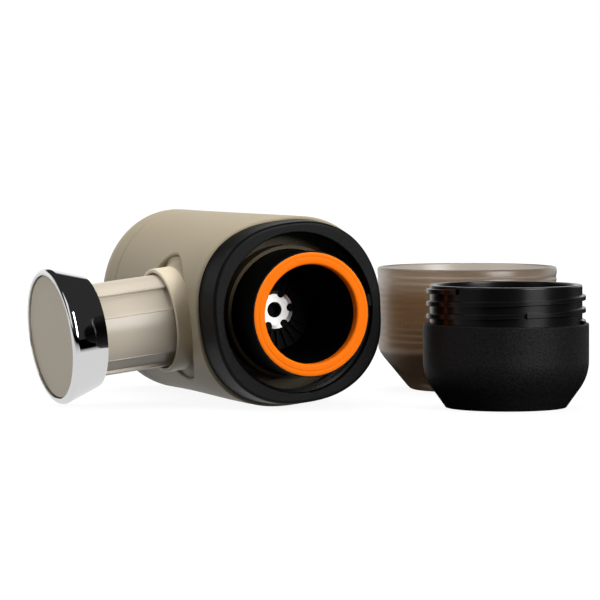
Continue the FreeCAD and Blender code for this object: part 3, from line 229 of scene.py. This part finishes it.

# finishes: one dictionary holds what a user would change in each of them

# the lighter colour each finish takes on its edges is a painted highlight
finishes = {
    "shell_champagne": dict(
        colour=(0.355, 0.298, 0.206), dark=(0.318, 0.266, 0.182), metallic=0.0, rough=(0.42, 0.5),
        grain=(2600.0, 0.06), edgeHighlightColour=(0.5, 0.44, 0.34), speckle=0.8, specular=0.18,
    ),
    "gloss_champagne": dict(
        colour=(0.5, 0.445, 0.36), dark=(0.46, 0.405, 0.325), metallic=0.0, rough=(0.28, 0.34),
        grain=(900.0, 0.012), edgeHighlightColour=(0.64, 0.59, 0.5), speckle=0.3, specular=0.45,
    ),
    # a lighter copy of the champagne: painted light on the knob disc and the guide
    "champagne_painted_light": dict(
        colour=(0.72, 0.625, 0.47), dark=(0.67, 0.58, 0.43), metallic=0.0, rough=(0.3, 0.38),
        grain=(1800.0, 0.03), edgeHighlightColour=(0.64, 0.58, 0.48), speckle=0.5, specular=0.4,
    ),
    # the beige frame inside the mouth is painted dark brown: painted shade of the recess
    "frame_beige": dict(
        colour=(0.075, 0.055, 0.028), dark=(0.055, 0.04, 0.02), metallic=0.0, rough=(0.4, 0.5),
        grain=(1500.0, 0.05), edgeHighlightColour=(0.17, 0.135, 0.085), speckle=0.3, specular=0.15,
    ),
    "black_satin": dict(
        colour=(0.004, 0.004, 0.0044), dark=(0.0022, 0.0022, 0.0025), metallic=0.0, rough=(0.34, 0.46),
        grain=(1900.0, 0.35), edgeHighlightColour=(0.014, 0.014, 0.015), speckle=2.5, specular=0.1,
    ),
    # a darker copy of the black: painted shade on the parts deep inside the mouth
    "black_painted_shade": dict(
        colour=(0.0012, 0.0012, 0.0013), dark=(0.0008, 0.0008, 0.0009), metallic=0.0, rough=(0.45, 0.55),
        grain=(1500.0, 0.1), edgeHighlightColour=(0.004, 0.004, 0.004), speckle=1.0, specular=0.08,
    ),
    "black_textured": dict(
        colour=(0.0115, 0.0115, 0.012), dark=(0.003, 0.003, 0.0033), metallic=0.0, rough=(0.42, 0.55),
        grain=(3200.0, 1.0), edgeHighlightColour=(0.02, 0.02, 0.021), speckle=4.0, specular=0.12,
    ),
    "black_gloss": dict(
        colour=(0.004, 0.004, 0.0042), dark=(0.003, 0.003, 0.0032), metallic=0.0, rough=(0.21, 0.27),
        grain=(500.0, 0.02), edgeHighlightColour=(0.02, 0.02, 0.021), speckle=0.3, specular=0.4,
    ),
    "orange_silicone": dict(
        colour=(1.0, 0.2, 0.003), dark=(0.97, 0.175, 0.002), metallic=0.0, rough=(0.45, 0.55),
        grain=(1600.0, 0.05), edgeHighlightColour=(1.0, 0.27, 0.02), speckle=0.3, specular=0.05,
    ),
    "pale_silicone": dict(
        colour=(0.62, 0.62, 0.6), dark=(0.5, 0.5, 0.48), metallic=0.0, rough=(0.4, 0.5),
        grain=(900.0, 0.04), edgeHighlightColour=(0.7, 0.7, 0.68), speckle=0.3, specular=0.4,
    ),
    "black_rubber": dict(
        colour=(0.014, 0.014, 0.014), dark=(0.01, 0.01, 0.01), metallic=0.0, rough=(0.5, 0.6),
        grain=(1200.0, 0.06), edgeHighlightColour=(0.03, 0.03, 0.03), speckle=0.3, specular=0.25,
    ),
    "steel": dict(
        colour=(0.85, 0.84, 0.82), dark=(0.76, 0.75, 0.73), metallic=1.0, rough=(0.26, 0.36),
        grain=(2500.0, 0.04), edgeHighlightColour=(0.9, 0.9, 0.88), speckle=0.3, specular=0.5,
    ),
    "chrome_ring": dict(
        colour=(0.78, 0.78, 0.79), dark=(0.74, 0.74, 0.75), metallic=1.0, rough=(0.03, 0.06),
        grain=(300.0, 0.002), edgeHighlightColour=(0.8, 0.8, 0.8), speckle=0.3, specular=0.5,
    ),
}


def newMaterial(name):
    material = bpy.data.materials.new(name)
    material.use_nodes = True
    return material, material.node_tree, material.node_tree.nodes["Principled BSDF"]


bumpDepth = 0.0002  # metres


def addSurface(tree, shader, grain, rough, strength):
    # roughness that drifts between two values, and the grain as a bump
    drifting = mapRange(tree, grain.outputs["Drift"], (0.0, 1.0), rough)
    tree.links.new(drifting, shader.inputs["Roughness"])
    bump = addNode(tree, "ShaderNodeBump", Strength=strength, Distance=bumpDepth)
    tree.links.new(grain.outputs["Height"], bump.inputs["Height"])
    tree.links.new(bump.outputs["Normal"], shader.inputs["Normal"])


def makeFinish(name, settings):
    # grain is its scale and how strongly it shows as a bump
    material, tree, shader = newMaterial(name)
    shader.inputs["Metallic"].default_value = settings["metallic"]
    shader.inputs["Specular IOR Level"].default_value = settings["specular"]
    scale, strength = settings["grain"]
    grain = addNode(tree, "ShaderNodeGroup", node_tree=grainGroup, Scale=scale)
    edge = addNode(tree, "ShaderNodeGroup", node_tree=edgeHighlightGroup)
    offMiddle = mathNode(tree, "SUBTRACT", grain.outputs["Height"], 0.5)
    patches = mathNode(tree, "MULTIPLY", offMiddle, settings["speckle"])
    speckled = mathNode(tree, "ADD", grain.outputs["Drift"], patches)
    colour = mixNode(tree, "RGBA", speckled, settings["dark"], settings["colour"])
    # edges take the lighter colour: a painted highlight
    edgeHighlightColour = mixNode(tree, "RGBA", edge.outputs["Mask"], colour, settings["edgeHighlightColour"])
    tree.links.new(edgeHighlightColour, shader.inputs["Base Color"])
    addSurface(tree, shader, grain, settings["rough"], strength)
    return material


# the cup's plastic; its heights are metres above the table
# foot is a painted shade colour for the base and rim a painted light colour towards the rim; the two
# heights say where each fades in
smoke = dict(
    wall=(0.335, 0.228, 0.137), wallDark=(0.295, 0.2, 0.12),
    rim=(0.52, 0.455, 0.39), paintedLightHeight=(0.030, 0.0372),
    foot=(0.125, 0.088, 0.062), paintedShadeHeight=(0.012, 0.0135),
    rough=(0.25, 0.33), grain=(500.0, 0.03), clear=0.92, lightBend=1.5,
)


def makeSmoke(settings):
    # see-through smoke-brown plastic, with painted shade that darkens the foot and painted light that
    # lightens it near the rim
    material, tree, shader = newMaterial("smoke_plastic")
    shader.inputs["Transmission Weight"].default_value = settings["clear"]
    shader.inputs["IOR"].default_value = settings["lightBend"]
    scale, strength = settings["grain"]
    grain = addNode(tree, "ShaderNodeGroup", node_tree=grainGroup, Scale=scale)
    place = addNode(tree, "ShaderNodeTexCoord")
    axes = addNode(tree, "ShaderNodeSeparateXYZ")
    tree.links.new(place.outputs["Object"], axes.inputs[0])
    colour = mixNode(tree, "RGBA", grain.outputs["Drift"], settings["wallDark"], settings["wall"])
    outOfPaintedShade = mapRange(tree, axes.outputs["Z"], settings["paintedShadeHeight"], (0.0, 1.0), "SMOOTHSTEP")
    colour = mixNode(tree, "RGBA", outOfPaintedShade, settings["foot"], colour)
    paintedLightNearRim = mapRange(tree, axes.outputs["Z"], settings["paintedLightHeight"], (0.0, 1.0), "SMOOTHSTEP")
    colour = mixNode(tree, "RGBA", paintedLightNearRim, colour, settings["rim"])
    tree.links.new(colour, shader.inputs["Base Color"])
    addSurface(tree, shader, grain, settings["rough"], strength)
    return material


materials = {name: makeFinish(name, settings) for name, settings in finishes.items()}
materials["smoke_plastic"] = makeSmoke(smoke)
print("finishes made:", len(materials))

# the CAD nodes get their finish from the record's slot, apart from these, which take a lighter champagne as
# painted light or a darker black as painted shade
paintedLightAndShadeFinish = {
    "knob_disc": "champagne_painted_light", "piston_guide": "champagne_painted_light",
    "chamber_seat": "black_painted_shade", "capsule_chamber": "black_painted_shade", "pump_block": "black_painted_shade",
}
slotOfNode = {entry["node"]: entry["material_slot"] for entry in frame["record"]["subparts"]}
for nodeName, node in frame["nodes"].items():
    node.data.materials.clear()
    node.data.materials.append(materials[paintedLightAndShadeFinish.get(nodeName, slotOfNode[nodeName])])
print("nodes dressed:", len(slotOfNode))

# modelling helpers: everything is shaped in millimetres, then seated in the row

weldDistance = 0.002


def startPiece(name, location):
    # one vertex in edit mode, ready to be drawn out into an outline
    bpy.ops.object.select_all(action="DESELECT")
    bpy.ops.mesh.primitive_plane_add(size=1, location=(0, 0, 0))
    piece = bpy.context.object
    piece.name = name
    bpy.ops.object.mode_set(mode="EDIT")
    bpy.ops.mesh.select_all(action="SELECT")
    bpy.ops.mesh.merge(type="CENTER")
    bpy.ops.transform.translate(value=location)
    return piece


def drawOutline(points):
    # points are (radius, height); the first vertex is already selected at points[0]
    for (fromAcross, fromUp), (toAcross, toUp) in zip(points, points[1:]):
        step = (toAcross - fromAcross, 0, toUp - fromUp)
        bpy.ops.mesh.extrude_region_move(TRANSFORM_OT_translate={"value": step})


def cleanMesh():
    bpy.ops.mesh.select_all(action="SELECT")
    bpy.ops.mesh.remove_doubles(threshold=weldDistance)
    bpy.ops.mesh.normals_make_consistent(inside=False)
    bpy.ops.object.mode_set(mode="OBJECT")


def seatPiece(piece, place, body, slot, smooth=35):
    # put the finished mesh in its place in the row, so that the object itself sits at the origin
    piece.matrix_world = place
    bpy.ops.object.select_all(action="DESELECT")
    piece.select_set(True)
    bpy.context.view_layer.objects.active = piece
    bpy.ops.object.transform_apply(location=True, rotation=True, scale=True)
    bpy.ops.object.shade_smooth_by_angle(angle=math.radians(smooth))
    piece.data.materials.clear()
    piece.data.materials.append(materials[slot])
    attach(piece, body)
    return piece


def turnPiece(name, points, place, body, slot, steps, smooth):
    # draw an outline and spin it about the local Z axis
    piece = startPiece(name, (points[0][0], 0, points[0][1]))
    drawOutline(points)
    bpy.ops.mesh.select_all(action="SELECT")
    bpy.ops.mesh.spin(steps=steps, angle=2 * math.pi, center=(0, 0, 0), axis=(0, 0, 1))
    cleanMesh()
    return seatPiece(piece, place, body, slot, smooth)


def wrapThread(name, settings):
    # a ridge of four corners wound up a helix with the Screw modifier, one length for each segment
    root, tip = settings["root"], settings["tip"]
    wide, narrow = settings["rootWidth"] / 2, settings["tipWidth"] / 2
    lengths = []
    for start, end in settings["segments"]:
        turned = end - start
        height = settings["height"] + settings["pitch"] * (start - settings["heightAt"]) / 360
        length = startPiece(name, (root, 0, -wide))
        drawOutline([(root, -wide), (tip, -narrow), (tip, narrow), (root, wide)])
        bpy.ops.mesh.select_all(action="SELECT")
        bpy.ops.mesh.edge_face_add()
        bpy.ops.object.mode_set(mode="OBJECT")
        screw = length.modifiers.new("Screw", "SCREW")
        screw.angle = math.radians(turned)
        screw.screw_offset = settings["pitch"] * turned / 360
        screw.steps = screw.render_steps = max(3, round(turned / settings["stepDegrees"]))
        screw.use_merge_vertices = False
        bpy.ops.object.modifier_apply(modifier="Screw")
        turn = Matrix.Rotation(math.radians(start), 4, "Z")
        length.matrix_world = Matrix.Translation((0, 0, height)) @ turn
        bpy.ops.object.transform_apply(location=True, rotation=True, scale=True)
        lengths.append(length)
    bpy.ops.object.select_all(action="DESELECT")
    for length in lengths:
        length.select_set(True)
    bpy.context.view_layer.objects.active = lengths[0]
    if len(lengths) > 1:
        bpy.ops.object.join()
    bpy.ops.object.mode_set(mode="EDIT")
    cleanMesh()
    return lengths[0]


# outlet head: the thread round its neck, with one notch in it; height is that of the turn at heightAt
headThread = dict(
    root=23.7, tip=25.0, rootWidth=2.0, tipWidth=1.3, pitch=3.87, height=28.73, heightAt=156.5,
    stepDegrees=4, segments=[(-40, 252.5), (258.5, 925)],
)
piece = wrapThread("neckThread", headThread)
seatPiece(piece, headPlace, "outlet_head", "black_gloss")
print("neck thread wound")

# mouth collar: the matching thread inside it, which starts at the stop lug
collarThread = dict(
    root=25.3, tip=24.25, rootWidth=2.0, tipWidth=1.1, pitch=3.87, height=7.9, heightAt=0,
    stepDegrees=4, segments=[(-700, 0)],
)
piece = wrapThread("mouthThread", collarThread)
seatPiece(piece, mouthPlace, "unit", "black_gloss")
print("mouth thread wound")

# capsule gasket: flat face, fine step, bevelled lip over the tube's edge, chamfered bore
lippedGasket = dict(bore=15.5, radius=18.95, front=19.9, back=16.9, lip=0.25, step=1.25)


def gasketOutline(settings):
    bore, radius, front, back = settings["bore"], settings["radius"], settings["front"], settings["back"]
    step, lip = radius - settings["step"], radius + settings["lip"]
    points = [(bore, back), (bore, front - 0.75), (bore + 0.12, front - 0.3), (bore + 0.4, front - 0.06)]
    points += [(bore + 0.75, front), (step - 0.25, front), (step - 0.05, front - 0.03)]
    points += [(step + 0.02, front - 0.12), (step + 0.14, front - 0.13), (step + 0.25, front - 0.07)]
    points += [(lip - 0.5, front - 0.14), (lip - 0.12, front - 0.24), (lip, front - 0.34)]
    points += [(radius, front - 0.38), (radius, back), (bore, back)]
    return points


outline = gasketOutline(lippedGasket)
piece = turnPiece("lippedGasket", outline, mouthPlace, "unit", "orange_silicone", steps=160, smooth=50)
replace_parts(piece, "capsule_gasket")
print("gasket turned")

# drinking cup: ringed wall, rounded rim, coned foot
cupRings = dict(
    radius=29.65, rimRadius=29.9, height=40.8, wall=1.6, foot=18.6, cone=13.0,
    firstRing=15.2, ringPitch=2.14, rings=11, ringParts=8, ringDepth=0.17,
)


def cupOutline(settings):
    radius, height, wall = settings["radius"], settings["height"], settings["wall"]
    widen = (settings["rimRadius"] - radius) / (height - settings["cone"])

    def outside(up):
        return radius + widen * (up - settings["cone"])

    cone, foot = settings["cone"], settings["foot"]
    points = [(0, 0.5), (foot - 2.4, 0.5), (foot - 1.8, 0), (foot - 0.3, 0), (foot + 0.5, 0.3)]
    points += [(foot + 1.6, 1.4), (radius - 1.7, cone - 2.2), (radius - 0.7, cone - 0.7)]
    points += [(radius - 0.15, cone + 0.6)]
    parts = settings["ringParts"]
    for ring in range(settings["rings"]):
        for part in range(parts):
            up = settings["firstRing"] + (ring + part / parts) * settings["ringPitch"]
            dip = settings["ringDepth"] * (1 - math.cos(math.radians(360 / parts * part))) / 2
            points.append((outside(up) - dip, up))
    rim = settings["rimRadius"]
    points += [(rim, height - 2.4), (rim, height - 0.7), (rim - 0.2, height - 0.2), (rim - 0.6, height)]
    points += [(rim - 1.1, height), (rim - 1.45, height - 0.2), (rim - wall, height - 0.6)]
    points += [(radius - wall, cone + 1.2), (radius - wall - 0.4, cone), (radius - wall - 1.4, cone - 1.5)]
    points += [(foot + 1.5, 3.2), (foot + 0.3, 2.5), (foot - 1.2, 2.2), (0, 2.2)]
    return points


piece = turnPiece("ringedCup", cupOutline(cupRings), cupPlace, "cup", "smoke_plastic", steps=144, smooth=50)
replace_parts(piece, "drinking_cup")
print("cup turned with", cupRings["rings"], "rings")

# piston rod: four flat-floored flutes between round lands, open inside for the spring
flutedRod = dict(
    radius=14.7, floor=13.25, flutes=4, firstFlute=34.5, halfWidth=15.5, shoulder=2.6, landSteps=10,
    bottom=20.5, top=61.6, wall=0.45,
)


def rodOutline(settings):
    # points are (degrees from the flute's middle, distance from the axis) until the last lines
    radius, floor, half = settings["radius"], settings["floor"], settings["halfWidth"]
    shoulder, landSteps = settings["shoulder"], settings["landSteps"]
    corner = [(-half - shoulder, radius), (-half - 2.1, radius - 0.2), (-half - 1.6, radius)]
    corner += [(-half - 0.8, radius), (-half - 0.2, radius - 0.06)]
    corner += [(-half, radius - 0.25), (-half + 0.4, radius - 0.95)]
    flatTurns = (-14.2, -9.5, -4.7, 0, 4.7, 9.5, 14.2)
    flat = [(turn, floor / math.cos(math.radians(turn))) for turn in flatTurns]
    landWidth = 360 / settings["flutes"] - 2 * half - 2 * shoulder
    land = [(half + shoulder + step * landWidth / landSteps, radius) for step in range(1, landSteps)]
    sector = corner + flat + [(-turn, away) for turn, away in reversed(corner)] + land
    points = []
    for flute in range(settings["flutes"]):
        middleTurn = settings["firstFlute"] + flute * 360 / settings["flutes"]
        for turn, away in sector:
            angle = math.radians(middleTurn + turn)
            points.append((away * math.cos(angle), away * math.sin(angle)))
    return points + points[:1]


def makeRod(settings):
    outline = rodOutline(settings)
    piece = startPiece("flutedRod", (outline[0][0], outline[0][1], settings["bottom"]))
    for (fromX, fromY), (toX, toY) in zip(outline, outline[1:]):
        bpy.ops.mesh.extrude_region_move(TRANSFORM_OT_translate={"value": (toX - fromX, toY - fromY, 0)})
    bpy.ops.mesh.select_all(action="SELECT")
    bpy.ops.mesh.remove_doubles(threshold=weldDistance)
    bpy.ops.mesh.select_all(action="SELECT")
    length = settings["top"] - settings["bottom"]
    bpy.ops.mesh.extrude_region_move(TRANSFORM_OT_translate={"value": (0, 0, length)})
    cleanMesh()
    wall = piece.modifiers.new("Wall", "SOLIDIFY")
    wall.thickness = settings["wall"]
    wall.offset = -1
    bpy.ops.object.modifier_apply(modifier="Wall")
    return seatPiece(piece, pistonPlace, "piston", "gloss_champagne", smooth=25)


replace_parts(makeRod(flutedRod), "piston_rod")
print("piston rod fluted")


def turnOnPiston(name, settings, body, slot):
    # outlines are (distance from the piston's axis, height along it)
    steps, smooth = settings["steps"], settings["smooth"]
    return turnPiece(name, settings["outline"], pistonPlace, body, slot, steps, smooth)


# flange at the rod's inner end
rodFlange = dict(
    steps=96, smooth=35,
    outline=[
        (13.0, 18.0), (15.3, 18.0), (15.4, 18.1), (15.4, 20.3), (15.3, 20.4), (13.0, 20.4),
        (13.0, 18.0),
    ],
)
turnOnPiston("rodFlange", rodFlange, "piston", "gloss_champagne")
print("rod flange turned")

# knob's chromed ring: fine enough that its cone mirrors without steps, with a rolled front edge;
# the points close to the cone's two ends keep its shading straight between them
chromedRing = dict(
    steps=256, smooth=40,
    outline=[
        (2.7, 61.65), (17.0, 61.65), (17.0, 55.9), (17.1, 55.8), (17.7, 55.8), (17.82, 55.87),
        (17.923, 56.17), (21.487, 66.56), (21.59, 66.86), (21.5, 67.4), (21.32, 67.85),
        (21.05, 68.17), (20.7, 68.4), (20.3, 68.5), (19.73, 68.5), (19.63, 68.4), (19.63, 63.95),
        (2.7, 63.95), (2.7, 61.65),
    ],
)
piece = turnOnPiston("chromedRing", chromedRing, "piston", "chrome_ring")
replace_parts(piece, "knob_ring")
print("knob ring turned")

# soft fillet round the foot of the guide, at the bottom of the shell's recess
recessFillet = dict(
    steps=128, smooth=50,
    outline=[
        (16.62, 20.0), (16.62, 25.9), (16.85, 25.2), (17.2, 24.5), (17.7, 23.8), (18.3, 23.3),
        (18.9, 23.05), (19.4, 23.0), (19.4, 20.0), (16.62, 20.0),
    ],
)
turnOnPiston("recessFillet", recessFillet, "unit", "shell_champagne")
print("recess filleted")

# springs: merged, smooth-shaded copies of the nodes, in their place
springs = {
    "returnCoil": dict(node="return_spring", joint="piston_press", keep=0.592, smooth=50),
    "outletCoil": dict(node="outlet_spring", joint="outlet_valve_open", keep=0.51, smooth=50),
}


def copySpring(name, settings):
    source = frame["nodes"][settings["node"]]
    body = source["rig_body"]
    bpy.ops.object.select_all(action="DESELECT")
    source.select_set(True)
    bpy.context.view_layer.objects.active = source
    bpy.ops.object.duplicate()
    piece = bpy.context.object
    piece.name = name
    del piece["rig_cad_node"], piece["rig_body"]
    piece.parent = None
    bpy.ops.object.mode_set(mode="EDIT")
    bpy.ops.mesh.select_all(action="SELECT")
    bpy.ops.mesh.remove_doubles(threshold=weldDistance * mm)
    bpy.ops.mesh.normals_make_consistent(inside=False)
    bpy.ops.object.mode_set(mode="OBJECT")
    bpy.ops.object.shade_smooth_by_angle(angle=math.radians(settings["smooth"]))
    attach(piece, body)
    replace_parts(piece, settings["node"])
    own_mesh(piece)


for springName, springSettings in springs.items():
    copySpring(springName, springSettings)
print("springs ready")

# stage: pale floor, soft lamps and the camera

# place and lens in millimetres, the three angles in radians, nearest and farthest sight in metres
cameraSettings = dict(
    place=(-492.1, -1121.95, 94.3), yaw=0.40912, pitch=0.05097, turn=-0.00242,
    lens=227.68, sensor=36.0, sees=(0.05, 50.0),
)


def placeCamera():
    bpy.ops.object.camera_add()
    camera = bpy.context.object
    look = (
        Matrix.Rotation(-cameraSettings["yaw"], 4, "Z")
        @ Matrix.Rotation(math.radians(90) - cameraSettings["pitch"], 4, "X")
        @ Matrix.Rotation(cameraSettings["turn"], 4, "Z")
    )
    camera.matrix_world = Matrix.Translation(Vector(cameraSettings["place"]) * mm) @ look
    camera.data.lens = cameraSettings["lens"]
    camera.data.sensor_width = cameraSettings["sensor"]
    camera.data.clip_start, camera.data.clip_end = cameraSettings["sees"]
    scene.camera = camera


lampAim = (0, 0, 0.03)
# where a lamp stands: degrees to the right of the row's front, degrees up, and metres off;
# mirrored is whether gloss shows it, lights whether it lights the set
softboxes = {
    "rightBox": dict(turn=20, rise=22, away=1.5, size=(0.8, 1.1), watts=24, mirrored=True, lights=True),
    "leftBox": dict(turn=-78, rise=22, away=1.4, size=(0.8, 1.0), watts=2.4, mirrored=True, lights=False),
    "leftKey": dict(turn=-98, rise=46, away=1.3, size=(0.8, 0.7), watts=5, mirrored=False, lights=True),
    "topBox": dict(turn=165, rise=76, away=1.3, size=(1.3, 0.9), watts=17, mirrored=False, lights=True),
}


def addSoftbox(name, settings):
    turn, rise = math.radians(settings["turn"]), math.radians(settings["rise"])
    level = math.cos(rise)
    toward = Vector((math.sin(turn) * level, -math.cos(turn) * level, math.sin(rise)))
    bpy.ops.object.light_add(type="AREA", location=Vector(lampAim) + toward * settings["away"])
    lamp = bpy.context.object
    lamp.name = name
    lamp.data.shape = "RECTANGLE"
    lamp.data.size, lamp.data.size_y = settings["size"]
    lamp.data.energy = settings["watts"]
    lamp.visible_glossy = settings["mirrored"]
    lamp.visible_diffuse = settings["lights"]
    lamp.rotation_euler = (-toward).to_track_quat("-Z", "Y").to_euler()


def seenDirectly(tree):
    # two masks: rays to the camera or through the cup, and rays in a mirror
    path = addNode(tree, "ShaderNodeLightPath")
    seen = mathNode(tree, "MAXIMUM", path.outputs["Is Camera Ray"], path.outputs["Is Transmission Ray"])
    return seen, path.outputs["Is Glossy Ray"]


# directions on the floor, as the row is looked at from its front
toTheRight = (0.917, -0.398, 0)
toTheFront = (-0.398, -0.917, 0)
# how white the paper is: what it gives back to the lamps, shows directly and shows in a mirror,
# and the metres over which each tone fades
floorTones = dict(
    size=12.0, underSet=0.0002, rough=0.9, bounce=0.09, near=0.92, whiteFrom=(0.2, 0.6),
    mirror=0.82, mirrorRight=(-0.01, 0.02), mirrorFront=(0.08, 0.16),
)


def makeStage(tones):
    bpy.ops.mesh.primitive_plane_add(size=tones["size"], location=(0, 0, -tones["underSet"]))
    floor = bpy.context.object
    floor.name = "floor"
    material, tree, shader = newMaterial("floorWhite")
    shader.inputs["Roughness"].default_value = tones["rough"]
    shader.inputs["Specular IOR Level"].default_value = 0.0
    shader.inputs["Emission Color"].default_value = (1, 1, 1, 1)
    seen, mirrored = seenDirectly(tree)
    place = addNode(tree, "ShaderNodeTexCoord").outputs["Object"]
    paper = mixNode(tree, "RGBA", mirrored, [tones["bounce"]] * 3, (0, 0, 0))
    tree.links.new(paper, shader.inputs["Base Color"])
    distance = addNode(tree, "ShaderNodeVectorMath", operation="LENGTH")
    tree.links.new(place, distance.inputs[0])
    far = mapRange(tree, distance.outputs["Value"], tones["whiteFrom"], (tones["near"], 1.0))
    card = mathNode(
        tree, "MULTIPLY",
        mapRange(tree, alongAxis(tree, place, toTheRight), tones["mirrorRight"], (1.0, 0.0)),
        mapRange(tree, alongAxis(tree, place, toTheFront), tones["mirrorFront"], (1.0, 0.0)),
    )
    mirror = mathNode(tree, "MULTIPLY", card, tones["mirror"])
    shown = mathNode(tree, "MULTIPLY", seen, far)
    glow = mathNode(tree, "ADD", shown, mathNode(tree, "MULTIPLY", mirrored, mirror))
    tree.links.new(glow, shader.inputs["Emission Strength"])
    floor.data.materials.append(material)


# what the studio round the set shows: sky is soft light from the horizon and from overhead,
# the rest is the white behind the set and the dim light elsewhere, as a mirror shows them
studioTones = dict(
    sky=(0.03, 0.45), behindSet=(0.4, 0.92, 0.0), whiteBehind=(0.25, 0.55), whiteBelow=(0.46, 0.36),
    white=0.95, dim=0.03,
)


def makeWorld(tones):
    # white behind the set, dark in front of it and above, so that black and chrome read as such
    world = bpy.data.worlds.new("studio")
    scene.world = world
    world.use_nodes = True
    tree = world.node_tree
    background = tree.nodes["Background"]
    place = addNode(tree, "ShaderNodeTexCoord").outputs["Generated"]
    axes = addNode(tree, "ShaderNodeSeparateXYZ")
    tree.links.new(place, axes.inputs[0])
    up = axes.outputs["Z"]
    behind = mapRange(tree, alongAxis(tree, place, tones["behindSet"]), tones["whiteBehind"], (0.0, 1.0))
    low = mapRange(tree, up, tones["whiteBelow"], (0.0, 1.0))
    backdrop = mathNode(tree, "MULTIPLY", behind, low)
    mirrorLight = mathNode(tree, "ADD", mathNode(tree, "MULTIPLY", backdrop, tones["white"]), tones["dim"])
    above = mapRange(tree, up, (0.0, 1.0), tones["sky"])
    seen, mirrored = seenDirectly(tree)
    fill = mixNode(tree, "FLOAT", mirrored, above, mirrorLight)
    tree.links.new(mixNode(tree, "FLOAT", seen, fill, 1.0), background.inputs["Strength"])
    background.inputs["Color"].default_value = (1, 1, 1, 1)


placeCamera()
makeStage(floorTones)
makeWorld(studioTones)
for lampName, lampSettings in softboxes.items():
    addSoftbox(lampName, lampSettings)
scene.view_settings.view_transform = "Standard"
print("stage set")
